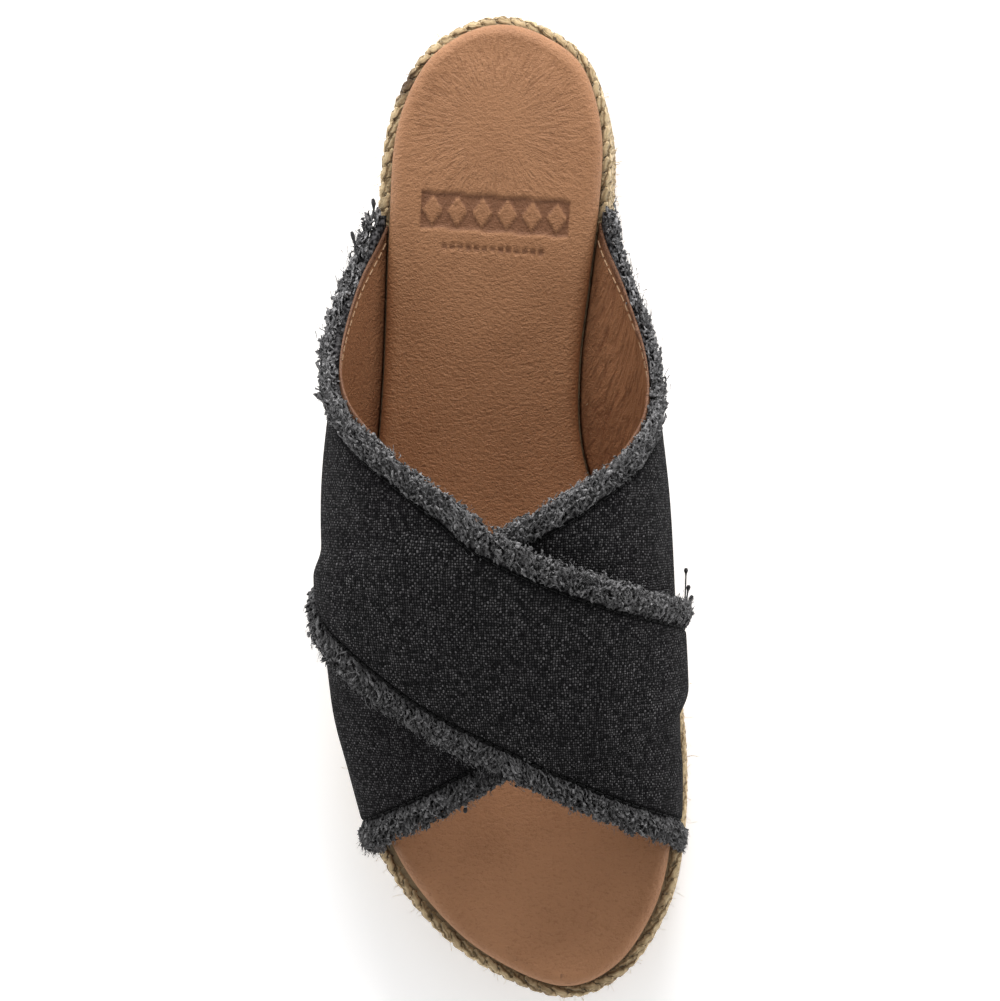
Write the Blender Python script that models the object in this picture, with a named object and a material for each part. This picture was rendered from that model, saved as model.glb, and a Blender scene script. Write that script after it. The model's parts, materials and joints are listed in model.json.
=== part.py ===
"""Crossed-strap wedge espadrille for a right foot, standing empty on its sole.

A rubber outsole and one level row of jute plait carry a jute wedge and a plaited rim that follows the foot
bed. A padded insole lies on the rim. Two frayed canvas straps cross over the foot and are joined there.
The frame: +X points to the big toe's side, +Y to the heel, +Z up, and the floor is z = 0.
"""
import math
import random

import bmesh
import bpy
from mathutils import Vector

MM = 0.001

# Driving sizes of the foot bed
INSOLE_LENGTH = 254.0 * MM
BALL_WIDTH = 84.0 * MM
HEEL_HEIGHT = 58.0 * MM
TOE_SPRING = 6.5 * MM
INSTEP_HEIGHT = 62.0 * MM

# Thickness of each layer of the sole, from the floor up
OUTSOLE_THICKNESS = 3.5 * MM
PLATFORM_ROW_HEIGHT = 8.0 * MM
WEDGE_ROW_HEIGHT = 8.0 * MM
RIM_HEIGHT = 8.0 * MM
INSOLE_THICKNESS = 5.0 * MM

# Form of the sole's side
CLEARANCE = 0.3 * MM
SOLE_MARGIN = 5.0 * MM
ROW_BULGE = 1.5 * MM
WEDGE_NOSE = 1.0 * MM
OUTSOLE_INSET = 1.2 * MM
OUTSOLE_EDGE_RADIUS = 1.0 * MM
INSOLE_EDGE_RADIUS = 3.0 * MM

# The straps and their frayed edges
STRAP_WALL = 2.2 * MM
STRAP_OVERLAP = 0.4 * MM
STRAP_STEP_LENGTH = 8.0 * MM
FRINGE_LENGTH = 7.5 * MM
FRINGE_PITCH = 3.9 * MM
FRINGE_TIP_THICKNESS = 1.3 * MM
FRINGE_LIFT = 1.4 * MM
LOCK_TIP_SHARE = 0.72
LOCK_LENGTH_SPREAD = 0.16

# The ball of the foot, as a share of the insole's length from the heel
BALL_AT = 0.76

# How finely each curve is faceted
CURVE_STEPS = 12
OUTLINE_STATIONS = 34
ROW_FACETS = 6
EDGE_FACETS = 3
WEDGE_CUT_STEPS = 24
STRAP_ROWS = 8
SECTION_FACETS = 14

# The cut that takes the top off the wedge: how far it starts behind the heel and steps to find the nose,
# as shares of the length, and how much of the stack it trims at the heel
CUT_OVERSHOOT = 0.1
NOSE_STEP = 0.002
CUT_SPARE = 2.0 * CLEARANCE

# The insole's outline: share of its length from the heel, share of the ball width towards the medial side
INSOLE_OUTLINE = (
    (0.000, 0.007), (0.012, -0.125), (0.045, -0.240), (0.110, -0.322), (0.210, -0.348),
    (0.360, -0.374), (0.480, -0.412), (0.590, -0.456), (0.690, -0.467), (0.775, -0.437),
    (0.852, -0.366), (0.915, -0.240), (0.967, -0.062), (1.000, 0.180), (0.978, 0.356),
    (0.920, 0.476), (0.856, 0.526), (0.780, 0.537), (0.700, 0.510), (0.605, 0.432),
    (0.510, 0.315), (0.430, 0.246), (0.350, 0.243), (0.265, 0.276), (0.185, 0.309),
    (0.110, 0.318), (0.045, 0.262), (0.012, 0.140),
)

# The sole's margin outside the insole: share of the length, lateral and medial shares of SOLE_MARGIN
SOLE_MARGINS = (
    (0.00, 0.56, 0.56), (0.10, 0.62, 0.50), (0.20, 0.74, 0.62), (0.30, 0.85, 1.00),
    (0.40, 0.95, 1.35), (0.50, 1.05, 1.35), (0.60, 1.15, 1.15), (0.70, 1.15, 0.90),
    (0.80, 1.05, 0.76), (0.90, 0.92, 0.76), (1.00, 0.74, 0.74),
)

# Inner face of the straps: share of the length; widest lateral and medial shares of the ball width;
# height of that widest line and of the top, as shares of the instep height; shift of the top
LAST_SECTIONS = (
    (0.15, 0.385, 0.345, 0.34, 0.92, 0.00),
    (0.25, 0.432, 0.398, 0.36, 0.96, 0.00),
    (0.35, 0.474, 0.456, 0.38, 0.99, 0.02),
    (0.45, 0.506, 0.488, 0.38, 1.00, 0.04),
    (0.55, 0.520, 0.510, 0.37, 0.96, 0.06),
    (0.65, 0.520, 0.530, 0.34, 0.84, 0.08),
    (0.75, 0.468, 0.538, 0.30, 0.70, 0.10),
    (0.85, 0.390, 0.532, 0.26, 0.60, 0.12),
    (0.95, 0.300, 0.500, 0.24, 0.52, 0.14),
)

# Tips of the fringe: share of the girth from the lateral base over the foot, then the rear and the front
# edge as shares of the insole's length from the heel
OUTER_STRAP = (
    (0.000, 0.183, 0.612), (0.120, 0.290, 0.621), (0.250, 0.382, 0.675), (0.375, 0.447, 0.736),
    (0.500, 0.513, 0.777), (0.625, 0.555, 0.815), (0.750, 0.582, 0.840), (0.880, 0.595, 0.853),
    (1.000, 0.600, 0.858),
)
INNER_STRAP = (
    (0.000, 0.556, 0.860), (0.120, 0.566, 0.855), (0.250, 0.566, 0.840), (0.375, 0.549, 0.811),
    (0.500, 0.513, 0.772), (0.625, 0.457, 0.735), (0.750, 0.393, 0.705), (0.880, 0.292, 0.682),
    (1.000, 0.180, 0.672),
)

# Where the straps cross, and how far the inner fringe runs on under the outer strap, as shares of the girth
CROSSING_GIRTH = 0.5
HIDDEN_LAP = 0.02

# Roundness of the straps' inner face: pull of the base outwards and upwards, of the widest line downwards,
# and of the shoulder towards the top, as shares of the rise or run between them
LEAN_OUT = 0.55
LEAN_UP = 0.22
UPRIGHT_PULL = 0.5
SHOULDER_PULL = 0.6

# Shares of the girth: how far the walls stand upright on the rim, and the steps that measure directions
UPRIGHT_GIRTH = 0.05
NORMAL_STEP = 0.01
SLOPE_STEP = 0.02

# Levels that follow from the sizes above
PLATFORM_BOTTOM = OUTSOLE_THICKNESS + CLEARANCE
WEDGE_BOTTOM = PLATFORM_BOTTOM + PLATFORM_ROW_HEIGHT + CLEARANCE
BALL_HEIGHT = WEDGE_BOTTOM + RIM_HEIGHT + CLEARANCE + INSOLE_THICKNESS
RIM_TOP_DROP = INSOLE_THICKNESS + CLEARANCE
RIM_BOTTOM_DROP = RIM_TOP_DROP + RIM_HEIGHT
WEDGE_TOP_DROP = RIM_BOTTOM_DROP + CLEARANCE


def smooth_table(table, at, column):
    """Value of one column at a place along the first, with a smooth curve through its rows."""
    places = [row[0] for row in table]
    values = [row[column] for row in table]
    last = len(table) - 1
    low = 0
    while low < last - 1 and at > places[low + 1]:
        low += 1
    span = places[low + 1] - places[low]
    share = (at - places[low]) / span
    before = max(low - 1, 0)
    after = min(low + 2, last)
    slope_in = (values[low + 1] - values[before]) / (places[low + 1] - places[before]) * span
    slope_out = (values[after] - values[low]) / (places[after] - places[low]) * span
    if share < 0.0:
        return values[low] + slope_in * share
    if share > 1.0:
        return values[low + 1] + slope_out * (share - 1.0)
    square = share * share
    cube = square * share
    return (
        values[low] * (2.0 * cube - 3.0 * square + 1.0)
        + slope_in * (cube - 2.0 * square + share)
        + values[low + 1] * (3.0 * square - 2.0 * cube)
        + slope_out * (cube - square)
    )


def smooth_step(value):
    """Ease from 0 to 1, and stay there outside that range."""
    held = min(max(value, 0.0), 1.0)
    return held * held * (3.0 - 2.0 * held)


def toe_lift(along):
    """Height that the toe spring adds in front of the ball."""
    forward = max(along - BALL_AT, 0.0) / (1.0 - BALL_AT)
    return TOE_SPRING * forward * forward


def bed_height(along):
    """Top of the insole above the floor, at a share of its length from the heel."""
    share = min(max(along / BALL_AT, 0.0), 1.0)
    drop = 0.5 * (1.0 + math.cos(math.pi * share))
    return BALL_HEIGHT + (HEEL_HEIGHT - BALL_HEIGHT) * drop + toe_lift(along)


def closed_curve(points, per_span):
    """Points of a smooth closed curve through the given ones."""
    count = len(points)
    curve = []
    for index in range(count):
        p0 = points[index - 1]
        p1 = points[index]
        p2 = points[(index + 1) % count]
        p3 = points[(index + 2) % count]
        for step in range(per_span):
            t = step / per_span
            curve.append(
                0.5 * (
                    2.0 * p1
                    + (p2 - p0) * t
                    + (2.0 * p0 - 5.0 * p1 + 4.0 * p2 - p3) * t * t
                    + (3.0 * p1 - p0 - 3.0 * p2 + p3) * t * t * t
                )
            )
    return curve


def insole_sides():
    """Lateral and medial sides of the insole, each as points from the heel's tip to the toe's tip."""
    points = [Vector((across * BALL_WIDTH, along * INSOLE_LENGTH)) for along, across in INSOLE_OUTLINE]
    curve = closed_curve(points, CURVE_STEPS)
    toe = max(range(len(curve)), key=lambda index: curve[index].y)
    lateral = curve[:toe + 1]
    medial = [curve[0]] + curve[:toe - 1:-1]
    return lateral, medial


LATERAL_SIDE, MEDIAL_SIDE = insole_sides()


def side_x(side, along):
    """Place of the insole's edge across the foot, on one side."""
    reach = along * INSOLE_LENGTH
    for first, second in zip(side, side[1:]):
        if first.y <= reach <= second.y and second.y > first.y:
            share = (reach - first.y) / (second.y - first.y)
            return first.x + (second.x - first.x) * share
    return side[0].x if reach < side[0].y else side[-1].x


def outline_points():
    """Points round the insole's edge as (x, distance from heel, along, medial), lateral side first.

    Each point of the lateral side has one of the medial side straight across from it.
    """
    sides = []
    for side, medial in ((LATERAL_SIDE, False), (MEDIAL_SIDE, True)):
        row = []
        for station in range(1, OUTLINE_STATIONS):
            along = 0.5 * (1.0 - math.cos(math.pi * station / OUTLINE_STATIONS))
            row.append((side_x(side, along), along * INSOLE_LENGTH, along, medial))
        sides.append(row)
    heel = (LATERAL_SIDE[0].x, LATERAL_SIDE[0].y, 0.0, False)
    toe = (LATERAL_SIDE[-1].x, LATERAL_SIDE[-1].y, 1.0, False)
    return [heel] + sides[0] + [toe] + sides[1][::-1]


OUTLINE = outline_points()


def outline_normals():
    """Unit vectors that point away from the insole, one for each point of its outline."""
    normals = []
    count = len(OUTLINE)
    for index in range(count):
        before = OUTLINE[index - 1]
        after = OUTLINE[(index + 1) % count]
        normals.append(Vector((before[1] - after[1], after[0] - before[0])).normalized())
    return normals


NORMALS = outline_normals()


def sole_margin(along, medial):
    """How far the sole's upright side stands outside the insole."""
    return SOLE_MARGIN * smooth_table(SOLE_MARGINS, along, 2 if medial else 1)


def ring(margin, height):
    """Closed ring of points at a margin outside the insole and at a height, both functions."""
    points = []
    for (x, reach, along, medial), normal in zip(OUTLINE, NORMALS):
        offset = margin(along, medial)
        placed_reach = reach + normal.y * offset
        z = height(placed_reach / INSOLE_LENGTH)
        points.append(Vector((x + normal.x * offset, INSOLE_LENGTH / 2.0 - placed_reach, z)))
    return points


def stacked_rings(bm, rings):
    """Close a stack of rings, lowest first, into one body with ladder-like ends."""
    layers = [[bm.verts.new(point) for point in points] for points in rings]
    count = len(layers[0])
    for lower, upper in zip(layers, layers[1:]):
        for index in range(count):
            following = (index + 1) % count
            bm.faces.new((lower[index], lower[following], upper[following], upper[index]))
    for layer in (layers[0], layers[-1]):
        for step in range(count // 2):
            corners = [layer[step], layer[step + 1], layer[-1 - step], layer[-step]]
            bm.faces.new(list(dict.fromkeys(corners)))
    bmesh.ops.recalc_face_normals(bm, faces=bm.faces)


def plait_rows(bottom, top, count):
    """Rings of a stack of half-round plait rows between two height functions."""
    rings = []
    steps = count * ROW_FACETS
    for step in range(steps + 1):
        turn = math.pi * step / ROW_FACETS
        bulge = ROW_BULGE * abs(math.sin(turn))
        row = min(step // ROW_FACETS, count - 1)
        within = 0.5 * (1.0 - math.cos(turn - math.pi * row))
        level = (row + within) / count

        def height(along, level=level):
            return bottom(along) + (top(along) - bottom(along)) * level

        def offset(along, medial, bulge=bulge):
            return sole_margin(along, medial) - ROW_BULGE + bulge

        rings.append(ring(offset, height))
    return rings


def make_material(name, colour, roughness):
    """Principled material of one colour."""
    material = bpy.data.materials.new(name)
    material.use_nodes = True
    shader = material.node_tree.nodes["Principled BSDF"]
    shader.inputs["Base Color"].default_value = (*colour, 1.0)
    shader.inputs["Roughness"].default_value = roughness
    shader.inputs["Metallic"].default_value = 0.0
    return material


def make_object(name, bm, material, collection, crease_degrees):
    """Object from a finished mesh, shaded smooth but for its sharp edges."""
    mesh = bpy.data.meshes.new(name)
    bm.to_mesh(mesh)
    bm.free()
    mesh.materials.append(material)
    mesh.shade_smooth()
    mesh.set_sharp_from_angle(angle=math.radians(crease_degrees))
    piece = bpy.data.objects.new(name, mesh)
    collection.objects.link(piece)
    return piece


def add_boolean(piece, operation, other):
    """Exact Boolean of one piece with another."""
    boolean = piece.modifiers.new(operation.title(), "BOOLEAN")
    boolean.operation = operation
    boolean.solver = "EXACT"
    boolean.object = other
    return boolean


def build_outsole(collection):
    """Rubber sole, level to the ball and curved up under the toes."""
    material = make_material("outsole_rubber", (0.50, 0.36, 0.22), 0.75)

    def inset(depth):
        def margin(along, medial):
            return sole_margin(along, medial) - OUTSOLE_INSET - depth
        return margin

    def level(share_up):
        def height(along):
            return toe_lift(along) + share_up
        return height

    rings = [
        ring(inset(OUTSOLE_EDGE_RADIUS), level(0.0)),
        ring(inset(0.0), level(OUTSOLE_EDGE_RADIUS)),
        ring(inset(0.0), level(OUTSOLE_THICKNESS)),
    ]
    bm = bmesh.new()
    stacked_rings(bm, rings)
    return make_object("outsole", bm, material, collection, 40.0)


def build_platform(collection):
    """The lowest row of plait, which runs round the whole sole."""
    material = make_material("platform_jute", (0.62, 0.50, 0.33), 0.9)

    def bottom(along):
        return toe_lift(along) + PLATFORM_BOTTOM

    def top(along):
        return bottom(along) + PLATFORM_ROW_HEIGHT

    bm = bmesh.new()
    stacked_rings(bm, plait_rows(bottom, top, 1))
    return make_object("jute_platform", bm, material, collection, 35.0)


def wedge_nose_along():
    """Share of the length where the wedge has thinned to its nose."""
    along = 0.0
    while bed_height(along) - WEDGE_TOP_DROP - WEDGE_BOTTOM > WEDGE_NOSE:
        along += NOSE_STEP
    return along


def build_wedge(collection, cutters):
    """Level rows of plait under the heel and waist, cut off along the underside of the rim."""
    material = make_material("wedge_jute", (0.60, 0.48, 0.31), 0.9)
    full_height = HEEL_HEIGHT - WEDGE_TOP_DROP - WEDGE_BOTTOM
    rows = max(round(full_height / WEDGE_ROW_HEIGHT), 1)

    def bottom(along):
        return WEDGE_BOTTOM

    def top(along):
        return WEDGE_BOTTOM + full_height + CUT_SPARE

    bm = bmesh.new()
    stacked_rings(bm, plait_rows(bottom, top, rows))
    wedge = make_object("jute_wedge", bm, material, collection, 35.0)

    nose = wedge_nose_along()
    profile = []
    for step in range(WEDGE_CUT_STEPS + 1):
        along = (nose + CUT_OVERSHOOT) * step / WEDGE_CUT_STEPS - CUT_OVERSHOOT
        profile.append((INSOLE_LENGTH * (0.5 - along), bed_height(along) - WEDGE_TOP_DROP))
    front = -INSOLE_LENGTH
    heel = profile[0][0]
    profile += [(profile[-1][0], -HEEL_HEIGHT), (front, -HEEL_HEIGHT), (front, 2.0 * HEEL_HEIGHT)]
    profile.append((heel, 2.0 * HEEL_HEIGHT))
    cut = bmesh.new()
    face = cut.faces.new([cut.verts.new((-BALL_WIDTH, y, z)) for y, z in profile])
    moved = bmesh.ops.extrude_face_region(cut, geom=[face])["geom"]
    corners = [item for item in moved if isinstance(item, bmesh.types.BMVert)]
    bmesh.ops.translate(cut, verts=corners, vec=(2.0 * BALL_WIDTH, 0.0, 0.0))
    bmesh.ops.recalc_face_normals(cut, faces=cut.faces)
    cutter = make_object("wedge_cutter", cut, material, cutters, 30.0)
    cutter.hide_render = True
    cutter.display_type = "WIRE"
    add_boolean(wedge, "DIFFERENCE", cutter)
    return wedge


def build_rim(collection):
    """The plaited row under the insole, which follows the foot bed from heel to toe."""
    material = make_material("rim_jute", (0.64, 0.52, 0.35), 0.9)

    def bottom(along):
        return bed_height(along) - RIM_BOTTOM_DROP

    def top(along):
        return bed_height(along) - RIM_TOP_DROP

    bm = bmesh.new()
    stacked_rings(bm, plait_rows(bottom, top, 1))
    return make_object("jute_rim", bm, material, collection, 35.0)


def build_insole(collection):
    """Padded leather insole with a rounded upper edge."""
    material = make_material("insole_leather", (0.45, 0.22, 0.12), 0.5)

    def flush(along, medial):
        return 0.0

    def bottom(along):
        return bed_height(along) - INSOLE_THICKNESS

    rings = [ring(flush, bottom)]
    for step in range(EDGE_FACETS + 1):
        turn = 0.5 * math.pi * step / EDGE_FACETS

        def rounded(along, medial, turn=turn):
            return -INSOLE_EDGE_RADIUS * (1.0 - math.cos(turn))

        def height(along, turn=turn):
            return bed_height(along) - INSOLE_EDGE_RADIUS * (1.0 - math.sin(turn))

        rings.append(ring(rounded, height))
    bm = bmesh.new()
    stacked_rings(bm, rings)
    return make_object("insole", bm, material, collection, 30.0)


def bezier(a, b, c, d, share):
    """Point of a cubic curve."""
    rest = 1.0 - share
    return (
        a * rest ** 3 + b * (3.0 * rest * rest * share) + c * (3.0 * rest * share * share) + d * share ** 3
    )


def last_section(along):
    """Inner face of the straps across the foot: (x, z) points from the lateral to the medial base."""
    lateral, medial, wide_up, top_up, top_shift = (
        smooth_table(LAST_SECTIONS, along, column) for column in range(1, 6)
    )
    bed = bed_height(along)
    top = Vector((top_shift * BALL_WIDTH, bed + top_up * INSTEP_HEIGHT))
    halves = []
    for side, sign, reach in ((LATERAL_SIDE, -1.0, lateral), (MEDIAL_SIDE, 1.0, medial)):
        base = Vector((side_x(side, along) + sign * CLEARANCE, bed - INSOLE_THICKNESS))
        wide = Vector((sign * reach * BALL_WIDTH, bed + wide_up * INSTEP_HEIGHT))
        out = wide.x - base.x
        rise = wide.y - base.y
        lean = base + Vector((LEAN_OUT * out, LEAN_UP * rise))
        upright = wide - Vector((0.0, UPRIGHT_PULL * rise))
        shoulder = wide + Vector((0.0, SHOULDER_PULL * (top.y - wide.y)))
        crown = top + Vector((SHOULDER_PULL * (wide.x - top.x), 0.0))
        half = [bezier(base, lean, upright, wide, step / SECTION_FACETS) for step in range(SECTION_FACETS)]
        half += [
            bezier(wide, shoulder, crown, top, step / SECTION_FACETS) for step in range(SECTION_FACETS)
        ]
        halves.append(half)
    return halves[0] + [top] + halves[1][::-1]


def last_point(along, girth):
    """Point of the straps' inner face at shares of the length and of the girth."""
    section = last_section(along)
    lengths = [(second - first).length for first, second in zip(section, section[1:])]
    reach = girth * sum(lengths)
    index = 0
    while index < len(lengths) - 1 and reach > lengths[index]:
        reach -= lengths[index]
        index += 1
    spot = section[index].lerp(section[index + 1], reach / lengths[index])
    return Vector((spot.x, INSOLE_LENGTH * (0.5 - along), spot.y))


def last_normal(along, girth):
    """Unit vector out of the straps, level at the bases so that the walls stand on the rim."""
    before = last_point(along, max(girth - NORMAL_STEP, 0.0))
    across = last_point(along, min(girth + NORMAL_STEP, 1.0)) - before
    forward = last_point(along + NORMAL_STEP, girth) - last_point(along - NORMAL_STEP, girth)
    normal = forward.cross(across).normalized()
    edge = min(girth, 1.0 - girth)
    level = Vector((-1.0 if girth < CROSSING_GIRTH else 1.0, 0.0, 0.0))
    return level.lerp(normal, smooth_step(edge / UPRIGHT_GIRTH)).normalized()


def strap_edge(strap, girth, front):
    """Tips of the fringe along one edge of a strap."""
    return smooth_table(strap, girth, 2 if front else 1)


def lateral_to_medial_length():
    """Girth of the straps' inner face over the instep, from base to base."""
    section = last_section(strap_edge(OUTER_STRAP, CROSSING_GIRTH, False))
    return sum((second - first).length for first, second in zip(section, section[1:]))


GIRTH_LENGTH = lateral_to_medial_length()


def woven_edge(strap, girth, front):
    """Edge of the woven part, one fringe length inside the tips, measured square to the edge."""
    change = strap_edge(strap, girth + SLOPE_STEP, front) - strap_edge(strap, girth - SLOPE_STEP, front)
    slope = change * INSOLE_LENGTH / (2.0 * SLOPE_STEP * GIRTH_LENGTH)
    inward = FRINGE_LENGTH * math.hypot(1.0, slope) / INSOLE_LENGTH
    tips = strap_edge(strap, girth, front)
    return tips - inward if front else tips + inward


def step_over_inner(along, girth):
    """Height of the outer strap's inner face above the last, where it lies on the inner strap."""
    behind = along - strap_edge(INNER_STRAP, girth, False)
    before = strap_edge(INNER_STRAP, girth, True) - along
    inside = min(behind, before) * INSOLE_LENGTH
    return (STRAP_WALL - STRAP_OVERLAP) * smooth_step(1.0 + inside / STRAP_STEP_LENGTH)


def lie_on_last(along, girth):
    """Height of the inner strap's inner face above the last."""
    return 0.0


def strap_point(along, girth, height):
    """Point of a strap at a height above the last."""
    return last_point(along, girth) + last_normal(along, girth) * height


def add_lock(bm, roots, tips):
    """One lock of the fringe, between two places of the woven edge and its tip."""
    (first_top, first_low), (second_top, second_low) = roots
    tip_tops, tip_lows = tips
    bm.faces.new((first_top, tip_tops[0], tip_tops[1], second_top))
    bm.faces.new((first_low, second_low, tip_lows[1], tip_lows[0]))
    bm.faces.new((tip_tops[0], tip_lows[0], tip_lows[1], tip_tops[1]))
    bm.faces.new((first_top, first_low, tip_lows[0], tip_tops[0]))
    bm.faces.new((second_top, tip_tops[1], tip_lows[1], second_low))


def build_strap(name, strap, seat, fringed, columns, inset, material, collection):
    """A strap from base to base, with frayed locks where fringed(front, girth) asks for them."""
    draw = random.Random(columns)
    pitch = (1.0 - 2.0 * inset) / columns
    bm = bmesh.new()
    tops = []
    lows = []
    for column in range(columns + 1):
        girth = inset + column * pitch
        rear = woven_edge(strap, girth, False)
        front = woven_edge(strap, girth, True)
        top_row = []
        low_row = []
        for row in range(STRAP_ROWS + 1):
            along = rear + (front - rear) * row / STRAP_ROWS
            low = seat(along, girth)
            low_row.append(bm.verts.new(strap_point(along, girth, low)))
            top_row.append(bm.verts.new(strap_point(along, girth, low + STRAP_WALL)))
        tops.append(top_row)
        lows.append(low_row)
    for column in range(columns):
        following = column + 1
        for row in range(STRAP_ROWS):
            for sheet in (tops, lows):
                first = sheet[column]
                second = sheet[following]
                bm.faces.new((first[row], first[row + 1], second[row + 1], second[row]))
        for front in (False, True):
            row = STRAP_ROWS if front else 0
            girth = inset + (column + 0.5) * pitch
            roots = (
                (tops[column][row], lows[column][row]),
                (tops[following][row], lows[following][row]),
            )
            if not fringed(front, girth):
                bm.faces.new((roots[0][0], roots[0][1], roots[1][1], roots[1][0]))
                continue
            length = 1.0 - LOCK_LENGTH_SPREAD * draw.random()
            tip_tops = []
            tip_lows = []
            for side in (-0.5, 0.5):
                tip_girth = girth + side * LOCK_TIP_SHARE * pitch
                root = woven_edge(strap, tip_girth, front)
                along = root + (strap_edge(strap, tip_girth, front) - root) * length
                low = seat(along, tip_girth) + FRINGE_LIFT
                tip_lows.append(bm.verts.new(strap_point(along, tip_girth, low)))
                tip_tops.append(bm.verts.new(strap_point(along, tip_girth, low + FRINGE_TIP_THICKNESS)))
            add_lock(bm, roots, (tip_tops, tip_lows))
    for column in (0, columns):
        for row in range(STRAP_ROWS):
            top_row = tops[column]
            low_row = lows[column]
            bm.faces.new((top_row[row], top_row[row + 1], low_row[row + 1], low_row[row]))
    bmesh.ops.recalc_face_normals(bm, faces=bm.faces)
    return make_object(name, bm, material, collection, 50.0)


def build_upper(collection, cutters):
    """Both straps, joined where the outer one lies on the inner one."""
    material = make_material("upper_canvas", (0.05, 0.05, 0.055), 0.9)

    def all_round(front, girth):
        return True

    def in_sight(front, girth):
        return girth < CROSSING_GIRTH + HIDDEN_LAP if front else girth > CROSSING_GIRTH - HIDDEN_LAP

    locks = round(GIRTH_LENGTH / FRINGE_PITCH)
    lifted = CLEARANCE / GIRTH_LENGTH
    upper = build_strap("upper", INNER_STRAP, lie_on_last, in_sight, locks, 0.0, material, collection)
    outer = build_strap(
        "outer_strap", OUTER_STRAP, step_over_inner, all_round, locks + 1, lifted, material, cutters
    )
    outer.hide_render = True
    outer.display_type = "WIRE"
    add_boolean(upper, "UNION", outer)
    return upper


def main():
    """Build the shoe."""
    for item in list(bpy.data.objects):
        bpy.data.objects.remove(item, do_unlink=True)
    scene = bpy.context.scene
    pieces = bpy.data.collections.new("wedge_espadrille")
    cutters = bpy.data.collections.new("cutters")
    scene.collection.children.link(pieces)
    scene.collection.children.link(cutters)
    build_outsole(pieces)
    build_platform(pieces)
    build_wedge(pieces, cutters)
    build_rim(pieces)
    build_insole(pieces)
    build_upper(pieces, cutters)


main()
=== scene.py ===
"""Looks of a crossed-strap wedge espadrille for a right foot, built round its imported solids.

Leather, canvas, frayed yarn and plaited jute stand for the plain solids and keep their sizes and places.
Lengths are in metres: +X points to the big toe's side, +Y to the heel, +Z up, and the floor is z = 0.
"""
import json
import logging
import math
from dataclasses import dataclass, field
from enum import Enum
from typing import Any, Callable, Mapping, Optional, Sequence

import bmesh
import bpy
import numpy as np
from mathutils import Matrix, Vector

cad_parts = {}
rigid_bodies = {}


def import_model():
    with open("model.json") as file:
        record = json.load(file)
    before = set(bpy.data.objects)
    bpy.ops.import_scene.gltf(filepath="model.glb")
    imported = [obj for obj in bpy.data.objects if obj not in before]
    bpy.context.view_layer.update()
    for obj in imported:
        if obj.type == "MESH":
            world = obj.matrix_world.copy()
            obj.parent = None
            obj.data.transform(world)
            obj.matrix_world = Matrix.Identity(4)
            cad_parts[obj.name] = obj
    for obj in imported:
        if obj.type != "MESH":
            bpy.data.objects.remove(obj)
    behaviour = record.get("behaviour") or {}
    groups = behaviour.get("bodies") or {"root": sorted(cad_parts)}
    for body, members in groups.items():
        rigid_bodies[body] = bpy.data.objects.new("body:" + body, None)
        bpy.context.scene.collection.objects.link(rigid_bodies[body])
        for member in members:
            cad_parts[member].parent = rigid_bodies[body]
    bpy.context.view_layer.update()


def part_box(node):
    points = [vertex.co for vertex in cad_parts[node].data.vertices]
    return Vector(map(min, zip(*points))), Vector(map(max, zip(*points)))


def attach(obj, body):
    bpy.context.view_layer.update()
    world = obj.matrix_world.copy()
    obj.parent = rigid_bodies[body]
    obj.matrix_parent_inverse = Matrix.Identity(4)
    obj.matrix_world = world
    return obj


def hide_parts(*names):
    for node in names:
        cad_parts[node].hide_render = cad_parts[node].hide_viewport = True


LOG = logging.getLogger("espadrille")
MM = 0.001
BODY = "root"

Array = np.ndarray
Colour = tuple[float, float, float]
Table = tuple[tuple[float, ...], ...]
Level = Callable[[Array], Array]
Socket = bpy.types.NodeSocket
Material = bpy.types.Material
Mesh = bpy.types.Mesh
Piece = bpy.types.Object

ORIGIN = (0.0, 0.0, 0.0)

# The insole's outline: share of its length from the heel, share of the ball width towards the medial side
INSOLE_OUTLINE: Table = (
    (0.000, 0.007), (0.012, -0.125), (0.045, -0.240), (0.110, -0.322), (0.210, -0.348),
    (0.360, -0.374), (0.480, -0.412), (0.590, -0.456), (0.690, -0.467), (0.775, -0.437),
    (0.852, -0.366), (0.915, -0.240), (0.967, -0.062), (1.000, 0.180), (0.978, 0.356),
    (0.920, 0.476), (0.856, 0.526), (0.780, 0.537), (0.700, 0.510), (0.605, 0.432),
    (0.510, 0.315), (0.430, 0.246), (0.350, 0.243), (0.265, 0.276), (0.185, 0.309),
    (0.110, 0.318), (0.045, 0.262), (0.012, 0.140),
)

# The sole's margin outside the insole: share of the length, lateral and medial shares of the margin
SOLE_MARGINS: Table = (
    (0.00, 0.56, 0.56), (0.10, 0.62, 0.50), (0.20, 0.74, 0.62), (0.30, 0.85, 1.00),
    (0.40, 0.95, 1.35), (0.50, 1.05, 1.35), (0.60, 1.15, 1.15), (0.70, 1.15, 0.90),
    (0.80, 1.05, 0.76), (0.90, 0.92, 0.76), (1.00, 0.74, 0.74),
)

# Inner face of the straps: share of the length; widest lateral and medial shares of the ball width;
# height of that widest line and of the top, as shares of the instep height; shift of the top
LAST_SECTIONS: Table = (
    (0.15, 0.385, 0.345, 0.34, 0.92, 0.00),
    (0.25, 0.432, 0.398, 0.36, 0.96, 0.00),
    (0.35, 0.474, 0.456, 0.38, 0.99, 0.02),
    (0.45, 0.506, 0.488, 0.38, 1.00, 0.04),
    (0.55, 0.520, 0.510, 0.37, 0.96, 0.06),
    (0.65, 0.520, 0.530, 0.34, 0.84, 0.08),
    (0.75, 0.468, 0.538, 0.30, 0.70, 0.10),
    (0.85, 0.390, 0.532, 0.26, 0.60, 0.12),
    (0.95, 0.300, 0.500, 0.24, 0.52, 0.14),
)

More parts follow.
